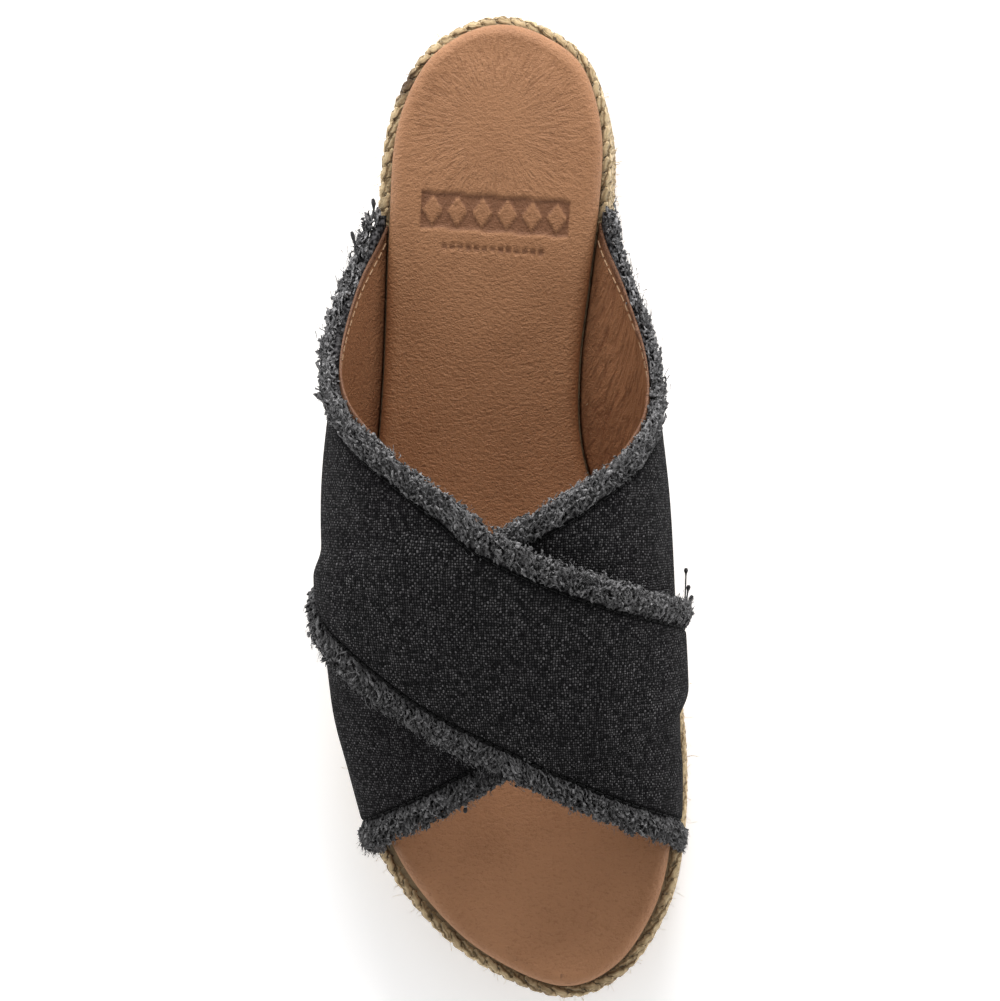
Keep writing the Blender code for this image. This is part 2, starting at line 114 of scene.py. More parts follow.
# Tips of the fringe: share of the girth from the lateral base over the foot, then the rear and the front
# edge as shares of the insole's length from the heel
OUTER_STRAP: Table = (
    (0.000, 0.183, 0.598), (0.120, 0.290, 0.604), (0.250, 0.382, 0.660), (0.375, 0.447, 0.724),
    (0.500, 0.513, 0.770), (0.625, 0.555, 0.811), (0.750, 0.582, 0.838), (0.880, 0.595, 0.853),
    (1.000, 0.600, 0.858),
)
INNER_STRAP: Table = (
    (0.000, 0.556, 0.860), (0.120, 0.566, 0.855), (0.250, 0.566, 0.840), (0.375, 0.549, 0.811),
    (0.500, 0.513, 0.772), (0.625, 0.457, 0.735), (0.750, 0.393, 0.705), (0.880, 0.292, 0.682),
    (1.000, 0.180, 0.672),
)


class Edge(Enum):
    """An edge of a strap, by its column in the strap's table."""

    REAR = 1
    FRONT = 2

    @property
    def forward(self) -> float:
        """Direction out of the strap, towards the toes or the heel."""
        return 1.0 if self is Edge.FRONT else -1.0


class Side(Enum):
    """A side of the foot, by its column in the table of margins."""

    LATERAL = 1
    MEDIAL = 2


def smooth_step(value: Array) -> Array:
    """Ease from 0 to 1, and stay there outside that range."""
    held = np.clip(value, 0.0, 1.0)
    return held * held * (3.0 - 2.0 * held)


def ripple(value: Array, centre: float, width: float) -> Array:
    """A soft bump of height 1 at a place."""
    return np.exp(-(((value - centre) / width) ** 2))


def smooth_table(table: Table, at: Array, column: int) -> Array:
    """Read one column at places along the first, on a smooth curve through its rows.

    Args:
        table: Rows with the place first.
        at: Places to read.
        column: The column to read.

    Returns:
        The values, carried on straight outside the table.
    """
    rows = np.array(table)
    places = rows[:, 0]
    values = rows[:, column]
    slopes = np.gradient(values)
    slopes[1:-1] = (values[2:] - values[:-2]) / (places[2:] - places[:-2])
    slopes[0] = (values[1] - values[0]) / (places[1] - places[0])
    slopes[-1] = (values[-1] - values[-2]) / (places[-1] - places[-2])
    at = np.asarray(at, float)
    low = np.clip(np.searchsorted(places, at, side="right") - 1, 0, len(places) - 2)
    span = places[low + 1] - places[low]
    share = (at - places[low]) / span
    held = np.clip(share, 0.0, 1.0)
    square = held * held
    cube = square * held
    inside = (
        values[low] * (2.0 * cube - 3.0 * square + 1.0)
        + slopes[low] * span * (cube - 2.0 * square + held)
        + values[low + 1] * (3.0 * square - 2.0 * cube)
        + slopes[low + 1] * span * (cube - square)
    )
    outside = np.where(share < 0.0, slopes[low] * share, slopes[low + 1] * (share - 1.0)) * span
    return inside + np.where((share < 0.0) | (share > 1.0), outside, 0.0)


def closed_curve(points: Array, per_span: int) -> Array:
    """Points of a smooth closed curve through the given ones.

    Args:
        points: The points to pass through.
        per_span: Steps from each point to the next.

    Returns:
        The curve's points, starting at the first given one.
    """
    before, after, beyond = (np.roll(points, shift, axis=0)[:, None] for shift in (1, -1, -2))
    here = points[:, None]
    t = (np.arange(per_span) / per_span)[None, :, None]
    curve = 0.5 * (
        2.0 * here
        + (after - before) * t
        + (2.0 * before - 5.0 * here + 4.0 * after - beyond) * t * t
        + (3.0 * here - before - 3.0 * after + beyond) * t * t * t
    )
    return curve.reshape(-1, points.shape[1])


@dataclass
class Ring:
    """Closed plan curve round the sole: points, unit vectors out of it, shares of the length and sides."""

    plan: Array
    outward: Array
    along: Array
    medial: Array


@dataclass
class FootBed:
    """Plan of the insole and height of the bed under the foot."""

    length: float
    heel_height: float
    ball_width: float = 84.0 * MM
    ball_height: float = 25.4 * MM
    ball_at: float = 0.76
    toe_spring: float = 6.5 * MM
    instep_height: float = 62.0 * MM
    insole_thickness: float = 5.0 * MM
    sole_margin: float = 5.0 * MM
    clearance: float = 0.3 * MM
    sides: dict[Side, Array] = field(init=False)

    @classmethod
    def from_frame(cls) -> "FootBed":
        """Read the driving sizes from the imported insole."""
        low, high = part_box("insole")
        return cls(length=high.y - low.y, heel_height=high.z)

    def __post_init__(self) -> None:
        """Split the insole's outline into its two sides."""
        outline = np.array(INSOLE_OUTLINE)[:, ::-1] * (self.ball_width, self.length)
        curve = closed_curve(outline, 24)
        curve = np.roll(curve, -int(np.argmin(curve[:, 1])), axis=0)
        toe = int(np.argmax(curve[:, 1]))
        self.sides = {
            Side.LATERAL: curve[:toe + 1],
            Side.MEDIAL: np.vstack([curve[:1], curve[:toe - 1:-1]]),
        }

    def toe_lift(self, along: Array) -> Array:
        """Height that the toe spring adds in front of the ball."""
        return self.toe_spring * (np.maximum(along - self.ball_at, 0.0) / (1.0 - self.ball_at)) ** 2

    def height(self, along: Array) -> Array:
        """Top of the insole above the floor, at shares of its length from the heel."""
        drop = 0.5 * (1.0 + np.cos(np.pi * np.clip(along / self.ball_at, 0.0, 1.0)))
        return self.ball_height + (self.heel_height - self.ball_height) * drop + self.toe_lift(along)

    def under(self, drop: float) -> Level:
        """Level of a layer that follows the bed, a drop below its top."""
        return lambda along: self.height(along) - drop

    def side_x(self, side: Side, along: Array) -> Array:
        """Place of the insole's edge across the foot, on one side."""
        curve = self.sides[side]
        return np.interp(along * self.length, curve[:, 1], curve[:, 0])

    def margin(self, ring: Ring) -> Array:
        """How far the sole's side stands outside the insole, round a ring."""
        lateral, medial = (smooth_table(SOLE_MARGINS, ring.along, side.value) for side in Side)
        return self.sole_margin * np.where(ring.medial, medial, lateral)

    def ring(self, stations: int) -> Ring:
        """The insole's edge as a ring from the heel's tip, lateral side first.

        Args:
            stations: Steps from heel to toe on each side.

        Returns:
            The ring, with each lateral point straight across from a medial one.
        """
        along = 0.5 * (1.0 - np.cos(np.pi * np.arange(stations + 1) / stations))
        lateral = np.stack([self.side_x(Side.LATERAL, along), along * self.length], 1)
        medial = np.stack([self.side_x(Side.MEDIAL, along), along * self.length], 1)
        lateral[0] = self.sides[Side.LATERAL][0]
        lateral[-1] = self.sides[Side.LATERAL][-1]
        plan = np.vstack([lateral, medial[-2:0:-1]])
        before = np.roll(plan, 1, axis=0)
        after = np.roll(plan, -1, axis=0)
        outward = np.stack([before[:, 1] - after[:, 1], after[:, 0] - before[:, 0]], 1)
        outward /= np.linalg.norm(outward, axis=1)[:, None]
        is_medial = np.arange(len(plan)) > stations
        return Ring(plan, outward, np.concatenate([along, along[-2:0:-1]]), is_medial)

    def placed(self, ring: Ring, offset: Array, level: Level) -> Array:
        """Points at an offset outside the insole, at the level of that place.

        Args:
            ring: The insole's edge.
            offset: Distance outside the edge for each point.
            level: Height as a function of the share of the length.

        Returns:
            Points in the shoe's frame.
        """
        plan = ring.plan + ring.outward * np.broadcast_to(offset, len(ring.plan))[:, None]
        heights = level(plan[:, 1] / self.length)
        return np.stack([plan[:, 0], self.length / 2.0 - plan[:, 1], heights], 1)

    def levelled(self, points: Array, level: Level) -> Array:
        """The same points, put at the level of their place."""
        shaped = points.copy()
        shaped[..., 2] = level(0.5 - points[..., 1] / self.length)
        return shaped


class Last:
    """Inner face of the straps, as a table of places and normals over length and girth."""

    reach = (0.10, 1.02)
    stations = 231
    columns = 321
    upright_girth = 0.05
    crossing_girth = 0.5
    crossing_along = 0.513
    base_lean = (0.55, 0.22)
    waist = 0.5
    roundness = 0.6
    curve_points = 60

    def __init__(self, bed: FootBed) -> None:
        """Work out the face once, on a fine net.

        Args:
            bed: The foot bed that the last stands on.
        """
        self.bed = bed
        self.alongs = np.linspace(*self.reach, self.stations)
        self.girths = np.linspace(0.0, 1.0, self.columns)
        sections = [self.section(along) for along in self.alongs]
        self.places = np.array([place for place, _ in sections])
        lengths = [length for _, length in sections]
        self.girth_length = float(np.interp(self.crossing_along, self.alongs, lengths))
        forward = np.gradient(self.places, axis=0)
        across = np.gradient(self.places, axis=1)
        normals = np.cross(forward, across)
        normals /= np.linalg.norm(normals, axis=2)[:, :, None]
        edge = np.minimum(self.girths, 1.0 - self.girths)
        level = np.zeros_like(normals)
        level[:, :, 0] = np.where(self.girths < self.crossing_girth, -1.0, 1.0)
        upright = smooth_step(edge / self.upright_girth)[None, :, None]
        self.normals = level * (1.0 - upright) + normals * upright

    def section(self, along: float) -> tuple[Array, float]:
        """One section across the foot.

        Args:
            along: Share of the length from the heel.

        Returns:
            Points at the table's girths, and the section's length from base to base.
        """
        bed = self.bed
        lateral, medial, wide_up, top_up, shift = (
            float(smooth_table(LAST_SECTIONS, along, column)) for column in range(1, 6)
        )
        height = float(bed.height(along))
        top = np.array((shift * bed.ball_width, height + top_up * bed.instep_height))
        share = np.linspace(0.0, 1.0, self.curve_points)[:, None]
        halves = []
        for side, sign, reach in ((Side.LATERAL, -1.0, lateral), (Side.MEDIAL, 1.0, medial)):
            foot = float(bed.side_x(side, along)) + sign * bed.clearance
            base = np.array((foot, height - bed.insole_thickness))
            wide = np.array((sign * reach * bed.ball_width, height + wide_up * bed.instep_height))
            out, rise = wide - base
            lean = base + (self.base_lean[0] * out, self.base_lean[1] * rise)
            upright = wide - (0.0, self.waist * rise)
            shoulder = wide + (0.0, self.roundness * (top[1] - wide[1]))
            crown = top + (self.roundness * (wide[0] - top[0]), 0.0)
            halves.append(np.vstack([
                bezier(base, lean, upright, wide, share)[:-1], bezier(wide, shoulder, crown, top, share)
            ]))
        outline = np.vstack([halves[0], halves[1][-2::-1]])
        steps = np.linalg.norm(np.diff(outline, axis=0), axis=1)
        run = np.concatenate([[0.0], np.cumsum(steps)])
        x, z = (np.interp(self.girths * run[-1], run, outline[:, axis]) for axis in (0, 1))
        return np.stack([x, np.full_like(x, bed.length * (0.5 - along)), z], 1), float(run[-1])

    def point(self, along: Array, girth: Array, height: Array) -> Array:
        """Points at a height above the inner face.

        Args:
            along: Shares of the length from the heel.
            girth: Shares of the girth from the lateral base.
            height: Distances out of the face.

        Returns:
            Points in the shoe's frame.
        """
        along, girth, height = np.broadcast_arrays(along, girth, height)
        step = self.alongs[1] - self.alongs[0]
        row = np.clip((along - self.alongs[0]) / step, 0, len(self.alongs) - 1.001)
        column = np.clip(girth * (len(self.girths) - 1), 0, len(self.girths) - 1.001)
        i, j = row.astype(int), column.astype(int)
        u, v = (row - i)[..., None], (column - j)[..., None]

        def blend(table: Array) -> Array:
            """Value of a table between its four nearest entries."""
            near = table[i, j] * (1.0 - v) + table[i, j + 1] * v
            far = table[i + 1, j] * (1.0 - v) + table[i + 1, j + 1] * v
            return near * (1.0 - u) + far * u

        normal = blend(self.normals)
        normal /= np.linalg.norm(normal, axis=-1)[..., None]
        return blend(self.places) + normal * height[..., None]


def bezier(a: Array, b: Array, c: Array, d: Array, share: Array) -> Array:
    """Points of a cubic curve."""
    rest = 1.0 - share
    return a * rest ** 3 + 3.0 * b * rest * rest * share + 3.0 * c * rest * share * share + d * share ** 3


@dataclass(frozen=True)
class Crease:
    """A soft ridge or trough between two places given as (girth, along) shares."""

    start: tuple[float, float]
    end: tuple[float, float]
    width: float
    height: float

    def relief(self, across: Array, along: Array, scale: tuple[float, float]) -> Array:
        """Height that the crease adds.

        Args:
            across: Places across, as shares.
            along: Places along, as shares.
            scale: Real lengths of one share across and along.

        Returns:
            Heights, fading out past the crease's ends.
        """
        spot = np.stack(np.broadcast_arrays(across * scale[0], along * scale[1]), -1)
        first = np.array(self.start) * scale
        run = np.array(self.end) * scale - first
        share = np.clip(((spot - first) @ run) / (run @ run), 0.0, 1.0)
        gap = np.linalg.norm(spot - first - share[..., None] * run, axis=-1)
        fade = np.sin(np.pi * np.clip(0.1 + 0.8 * share, 0.0, 1.0))
        return self.height * fade * np.exp(-((gap / self.width) ** 2))


@dataclass
class Strap:
    """One strap on the last: where it runs and how high it is seated."""

    name: str
    table: Table
    last: Last
    creases: tuple[Crease, ...]
    open_side: Side
    splay: float
    inner: Optional["Strap"] = None
    wall: float = 2.2 * MM
    lining: float = 0.65 * MM
    step_length: float = 8.0 * MM
    flare_reach: float = 4.0 * MM
    flare_end: float = 0.34
    flare_fade: float = 0.2
    seat_gap: float = 0.2 * MM
    fringe_length: float = 7.5 * MM

    def tips(self, girth: Array, edge: Edge) -> Array:
        """Tips of the fringe along one edge."""
        return smooth_table(self.table, girth, edge.value)

    def stretch(self, girth: Array, edge: Edge) -> Array:
        """How much longer a step along the length is than one square to the edge."""
        step = 0.02
        change = self.tips(girth + step, edge) - self.tips(girth - step, edge)
        return np.hypot(1.0, change * self.last.bed.length / (2.0 * step * self.last.girth_length))

    def beyond(self, girth: Array, edge: Edge, distance: Array) -> Array:
        """Shares of the length at distances outside the stitched line of one edge."""
        inward = (self.fringe_length - distance) * self.stretch(girth, edge) / self.last.bed.length
        return self.tips(girth, edge) - edge.forward * inward

    def outside(self, along: Array, girth: Array, edge: Edge) -> Array:
        """Distances of places outside the stitched line of one edge."""
        gap = (along - self.beyond(girth, edge, 0.0)) * edge.forward
        return gap * self.last.bed.length / self.stretch(girth, edge)

    def seat(self, along: Array, girth: Array) -> Array:
        """Height of the strap's inner face above the last, where it steps over the inner strap."""
        if self.inner is None:
            return np.zeros(np.broadcast(along, girth).shape)
        behind = along - self.inner.tips(girth, Edge.REAR)
        before = self.inner.tips(girth, Edge.FRONT) - along
        inside = np.minimum(behind, before) * self.last.bed.length
        return (self.wall + self.seat_gap) * smooth_step(1.0 + inside / self.step_length)

    def climb(self, girth: Array) -> Array:
        """Shares of the girth from the base where the strap's rear edge is open."""
        return girth if self.open_side is Side.LATERAL else 1.0 - girth

    def flare(self, girth: Array, edge: Edge) -> Array:
        """How far the frayed edge stands away from the foot, on the open side of the rear edge."""
        near_base = smooth_step((self.flare_end - self.climb(girth)) / self.flare_fade)
        return self.splay * near_base * (edge is Edge.REAR)

    def relief(self, along: Array, girth: Array) -> Array:
        """Height that the strap's creases add."""
        scale = (self.last.girth_length, self.last.bed.length)
        return sum((crease.relief(girth, along, scale) for crease in self.creases), np.zeros(1))

    def point(self, along: Array, girth: Array, height: Array) -> Array:
        """Points at a height above the strap's own inner face."""
        return self.last.point(along, girth, self.seat(along, girth) + height)


class Wiring:
    """Adds nodes to one node tree and joins them."""

    def __init__(self, tree: bpy.types.NodeTree) -> None:
        """Take the tree to add to."""
        self.tree = tree

    def node(self, kind: str, inputs: Optional[Mapping[Any, Any]] = None, **settings: Any) -> bpy.types.Node:
        """Add one node.

        Args:
            kind: The node's type name.
            inputs: Values or sockets for its inputs, by name or number.
            **settings: The node's own settings.

        Returns:
            The new node.
        """
        made = self.tree.nodes.new(kind)
        for name, value in settings.items():
            setattr(made, name, value)
        for key, value in (inputs or {}).items():
            self.feed(made.inputs[key], value)
        return made

    def feed(self, socket: Socket, value: Any) -> None:
        """Join a socket to an input, or set the input's own value."""
        if isinstance(value, Socket):
            self.tree.links.new(value, socket)
        else:
            socket.default_value = value

    def maths(self, operation: str, first: Any, second: Any = 0.0) -> Socket:
        """Result of one arithmetic step."""
        return self.node("ShaderNodeMath", {0: first, 1: second}, operation=operation).outputs[0]

    def times(self, first: Any, second: Any) -> Socket:
        """Product of two values."""
        return self.maths("MULTIPLY", first, second)

    def plus(self, first: Any, second: Any) -> Socket:
        """Sum of two values."""
        return self.maths("ADD", first, second)

    def vectors(self, operation: str, first: Any, second: Any = ORIGIN, output: Any = 0) -> Socket:
        """Result of one step between vectors."""
        return self.node("ShaderNodeVectorMath", {0: first, 1: second}, operation=operation).outputs[output]

    def scaled(self, vector: Any, scale: Any) -> Socket:
        """A vector made longer or shorter."""
        return self.node("ShaderNodeVectorMath", {0: vector, "Scale": scale}, operation="SCALE").outputs[0]

    def spread(self, value: Any, low: Any, high: Any, to_low: Any = 0.0, to_high: Any = 1.0) -> Socket:
        """A value carried from one range to another, held inside it."""
        inputs = {0: value, 1: low, 2: high, 3: to_low, 4: to_high}
        return self.node("ShaderNodeMapRange", inputs, interpolation_type="SMOOTHSTEP").outputs[0]

    def vector(self, x: Any, y: Any, z: Any = 0.0) -> Socket:
        """A vector from three values."""
        return self.node("ShaderNodeCombineXYZ", {0: x, 1: y, 2: z}).outputs[0]

    def noise(self, place: Any, scale: float, detail: float = 2.0, output: str = "Fac") -> Socket:
        """Soft noise at a place."""
        inputs = {"Vector": place, "Scale": scale, "Detail": detail}
        return self.node("ShaderNodeTexNoise", inputs).outputs[output]


class Recipe(Wiring):
    """One material, mixed round its Principled shader. Places are in millimetres."""

    def __init__(self, name: str, roughness: float, **sockets: Any) -> None:
        """Start the material.

        Args:
            name: The material's name.
            roughness: Its roughness.
            **sockets: Other values of the shader, with spaces written as underscores.
        """
        self.material = bpy.data.materials.new(name)
        self.material.use_nodes = True
        super().__init__(self.material.node_tree)
        self.shader = self.tree.nodes["Principled BSDF"]
        self.feed(self.shader.inputs["Roughness"], roughness)
        for label, value in sockets.items():
            self.feed(self.shader.inputs[label.replace("_", " ")], value)

    def place(self, stretch: Sequence[float] = (1.0, 1.0, 1.0)) -> Socket:
        """Object coordinates in millimetres, stretched along the axes."""
        source = self.node("ShaderNodeTexCoord").outputs["Object"]
        return self.stretched(source, [share / MM for share in stretch])

    def stretched(self, source: Socket, scale: Sequence[float]) -> Socket:
        """Coordinates scaled along each axis."""
        return self.node("ShaderNodeMapping", {"Vector": source, "Scale": tuple(scale)}).outputs[0]

    def chart(self, name: str) -> Socket:
        """A UV map, whose unit is a metre, in millimetres."""
        source = self.node("ShaderNodeUVMap", uv_map=name).outputs[0]
        return self.stretched(source, (1.0 / MM, 1.0 / MM, 1.0))

    def attribute(self, name: str) -> Socket:
        """A number stored on the mesh."""
        return self.node("ShaderNodeAttribute", attribute_name=name).outputs["Fac"]

    def mixed(self, share: Any, first: Any, second: Any) -> Socket:
        """A colour between two others."""
        colours = [(*value, 1.0) if isinstance(value, tuple) else value for value in (first, second)]
        inputs = {0: share, 6: colours[0], 7: colours[1]}
        return self.node("ShaderNodeMix", inputs, data_type="RGBA").outputs[2]

    def apart(self, source: Socket) -> tuple[Socket, Socket]:
        """The first two parts of a vector."""
        made = self.node("ShaderNodeSeparateXYZ", {0: source})
        return made.outputs[0], made.outputs[1]

    def blend(self, share: Any, first: Any, second: Any) -> Socket:
        """A number between two others."""
        return self.node("ShaderNodeMix", {0: share, 2: first, 3: second}, data_type="FLOAT").outputs[0]

    def wandering(self, place: Any, scale: float, reach: float) -> Socket:
        """Coordinates that wander a little, so that a pattern on them isn't too even."""
        return self.vectors("ADD", place, self.scaled(self.noise(place, scale, 1.0, "Color"), reach))

    def finish(self, colour: Any, reliefs: Sequence[tuple[Any, float]]) -> Material:
        """Join the colour and the layers of relief.

        Args:
            colour: The base colour.
            reliefs: Heights from 0 to 1 with their depths in metres, broadest first.

        Returns:
            The finished material.
        """
        self.feed(self.shader.inputs["Base Color"], colour)
        normal = None
        for height, depth in reliefs:
            inputs = {"Height": height, "Distance": depth, "Strength": 1.0}
            if normal is not None:
                inputs["Normal"] = normal
            normal = self.node("ShaderNodeBump", inputs).outputs[0]
        if normal is not None:
            self.feed(self.shader.inputs["Normal"], normal)
        return self.material


@dataclass(frozen=True)
class LeatherFinish:
    """Soft tan leather with pebbled grain, short ripples, a fan of finer folds and a pressed panel."""

    name: str
    light: Colour
    dark: Colour
    pressed: Colour
    grain_pitch: float = 1.0
    grain_depth: float = 0.28 * MM
    fold_depth: float = 0.52 * MM
    roughness: float = 0.56

    def material(self) -> Material:
        """Mix the leather; the mesh gives the vector "flow" and the numbers "crinkle" and "pressed"."""
        mix = Recipe(self.name, self.roughness, Coat_Weight=0.05, Coat_Roughness=0.5, Specular_IOR_Level=0.35)
        place = mix.place()
        cells = mix.node("ShaderNodeTexVoronoi", {
            "Vector": mix.wandering(place, 0.8, 0.9), "Scale": 1.0 / self.grain_pitch
        })
        pores = mix.noise(place, 2.4, 3.0)
        grain = mix.plus(mix.times(cells.outputs["Distance"], 0.45), pores)
        flow = mix.node("ShaderNodeAttribute", attribute_name="flow").outputs["Vector"]
        ripples = mix.noise(mix.wandering(mix.place((0.75, 1.2, 1.2)), 0.5, 0.8), 1.0, 3.0)
        soft = mix.spread(ripples, 0.2, 0.8, 0.38, 0.62)
        folds = mix.blend(mix.attribute("crinkle"), soft, mix.noise(mix.wandering(flow, 0.5, 1.5), 1.0, 3.0))
        # Painted shade: the colour darkens in the troughs of the folds and in the pores, and is paler on the
        # ridges.
        painted_fold_shade = mix.times(mix.spread(mix.plus(folds, mix.times(pores, 0.4)), 0.50, 0.72), 0.5)
        tone = mix.spread(mix.plus(mix.noise(place, 0.06, 4.0), painted_fold_shade), 0.35, 1.15)
        colour = mix.mixed(tone, self.dark, self.light)
        stamped = mix.mixed(mix.times(mix.attribute("pressed"), 0.75), colour, self.pressed)
        return mix.finish(stamped, [(folds, self.fold_depth), (grain, self.grain_depth)])


@dataclass(frozen=True)
class CanvasFinish:
    """Stone-washed dark cotton plain weave, paler on the yarn crowns by wear and by painted highlight, with
    painted shade between the yarns.
    """

    name: str = "washed_canvas"
    pitch: float = 0.68
    dark: Colour = (0.0058, 0.0056, 0.0062)
    light: Colour = (0.152, 0.147, 0.150)
    depth: float = 0.30 * MM

    def material(self) -> Material:
        """Mix the weave; the mesh gives the chart "weave", the number "groove" for painted shadow in the
        stitched groove, and the number "frayed".
        """
        mix = Recipe(self.name, 0.95, Specular_IOR_Level=0.08)
        chart = mix.wandering(mix.chart("weave"), 0.42, 1.0)
        u, v = mix.apart(chart)
        cells = [mix.maths("DIVIDE", part, self.pitch) for part in (u, v)]
        waves = [mix.maths("SINE", mix.times(cell, math.pi)) for cell in cells]
        lattice = mix.times(waves[0], waves[1])
        crossing = mix.vector(*(mix.maths("FLOOR", cell) for cell in cells))
        chance = mix.node("ShaderNodeTexWhiteNoise", {"Vector": crossing}).outputs["Value"]
        slubs = mix.noise(mix.stretched(chart, (1.3, 0.35, 1.0)), 1.0, 2.0)
        clouds = mix.noise(mix.place(), 0.11, 4.0)
        # The yarn crowns are paler partly from washing and partly as painted highlight; the dark gaps between
        # the yarns are painted shade.
        over = mix.times(mix.spread(lattice, 0.0, 0.75), mix.spread(chance, -0.2, 1.1))
        under = mix.times(mix.spread(lattice, -0.1, -0.9), mix.times(chance, 0.55))
        wash = mix.times(mix.spread(slubs, 0.30, 0.72, 0.55, 1.2), mix.spread(clouds, 0.3, 0.7, 0.85, 1.2))
        nap = mix.spread(mix.noise(mix.place(), 2.4, 2.0), 0.3, 0.7, 0.5, 1.4)
        share = mix.times(mix.times(mix.plus(over, under), wash), nap)
        frayed = mix.attribute("frayed")
        fluff = mix.noise(mix.place(), 1.1, 4.0)
        share = mix.blend(frayed, share, mix.spread(fluff, 0.35, 0.8))
        # Painted shadow: the colour darkens along the stitched groove.
        share = mix.times(share, mix.maths("SUBTRACT", 1.0, mix.attribute("groove")))
        relief = mix.blend(frayed, mix.maths("ABSOLUTE", lattice), fluff)
        return mix.finish(mix.mixed(share, self.dark, self.light), [(clouds, 0.4 * MM), (relief, self.depth)])


@dataclass(frozen=True)
class YarnFinish:
    """Frayed cotton, flecked along each yarn and paler at the tips."""

    name: str
    dark: Colour
    light: Colour

    def material(self) -> Material:
        """Mix the yarn; the mesh gives the numbers "tip" and "shade"."""
        mix = Recipe(self.name, 0.95, Sheen_Weight=0.12, Sheen_Roughness=0.5, Specular_IOR_Level=0.1)
        twist = mix.noise(mix.place(), 1.6, 3.0)
        own = mix.maths("POWER", mix.attribute("shade"), 1.6)
        share = mix.plus(mix.times(own, 0.5), mix.times(mix.attribute("tip"), 0.25))
        flecked = mix.times(mix.plus(share, 0.12), mix.spread(twist, 0.36, 0.66, 0.5, 1.45))
        return mix.finish(mix.mixed(flecked, self.dark, self.light), [(twist, 0.15 * MM)])


@dataclass(frozen=True)
class JuteFinish:
    """Raw jute with twisted fibres, straw coloured with browner stretches and one dark stain."""

    name: str
    pale: Colour
    brown: Colour
    stain: Colour = (0.10, 0.06, 0.035)
    stain_place: tuple[float, float, float] = (-24.6, 112.5, 49.0)
    stain_reach: float = 5.5
    strand_twist: float = 7.0
    ply_depth: float = 0.42 * MM
    fibre_depth: float = 0.34 * MM

    def material(self, on_strands: bool) -> Material:
        """Mix the jute.

        Args:
            on_strands: True where the mesh gives "run" along a twisted strand and "around" it.

        Returns:
            The material.
        """
        mix = Recipe(self.name, 0.9, Sheen_Weight=0.2, Specular_IOR_Level=0.2)
        place = mix.place()
        blotches = mix.noise(place, 0.12, 4.0)
        reliefs = []
        if on_strands:
            run = mix.times(mix.attribute("run"), 1.0 / MM)
            spin = mix.times(run, 2.0 * math.pi / self.strand_twist)
            around = mix.node("ShaderNodeAttribute", attribute_name="around").outputs["Vector"]
            inputs = {"Vector": around, "Angle": spin}
            turned = mix.node("ShaderNodeVectorRotate", inputs, rotation_type="Z_AXIS")
            x, y = mix.apart(turned.outputs[0])
            angle = mix.maths("ARCTAN2", y, x)
            ply = mix.maths("ABSOLUTE", mix.maths("SINE", mix.times(angle, 1.5)))
            thread = mix.vector(mix.times(x, 5.0), mix.times(y, 5.0), mix.times(run, 0.22))
            fibres = mix.noise(thread, 1.0, 4.0)
            # Painted shade in the gaps between the plies.
            painted_ply_shade = mix.spread(ply, 0.0, 0.5, 0.30, 0.0)
            reliefs.append((mix.spread(ply, 0.0, 0.8), self.ply_depth))
        else:
            fibres = mix.noise(mix.place((0.3, 0.3, 2.4)), 1.0, 4.0)
            painted_ply_shade = 0.0
        share = mix.plus(mix.times(fibres, 0.9), mix.times(blotches, 0.7))
        colour = mix.mixed(mix.spread(mix.maths("SUBTRACT", share, painted_ply_shade), 0.42, 0.95), self.brown, self.pale)
        gap = mix.vectors("DISTANCE", place, self.stain_place, "Value")
        stained = mix.spread(mix.plus(gap, mix.times(fibres, 3.0)), 0.6 * self.stain_reach,
                             1.6 * self.stain_reach, 0.95, 0.0)
        return mix.finish(mix.mixed(stained, colour, self.stain), reliefs + [(fibres, self.fibre_depth)])


@dataclass(frozen=True)
class RubberFinish:
    """Matt moulded rubber with a little dust."""

    name: str = "outsole_rubber"
    base: Colour = (0.30, 0.19, 0.105)
    dusty: Colour = (0.42, 0.30, 0.19)

    def material(self) -> Material:
        """Mix the rubber."""
        mix = Recipe(self.name, 0.72, Specular_IOR_Level=0.4)
        dust = mix.noise(mix.place(), 0.12, 5.0)
        painted_fold_shade = mix.noise(mix.place(), 3.0, 2.0)
        return mix.finish(mix.mixed(mix.spread(dust, 0.35, 0.7), self.base, self.dusty), [(painted_fold_shade, 0.05 * MM)])


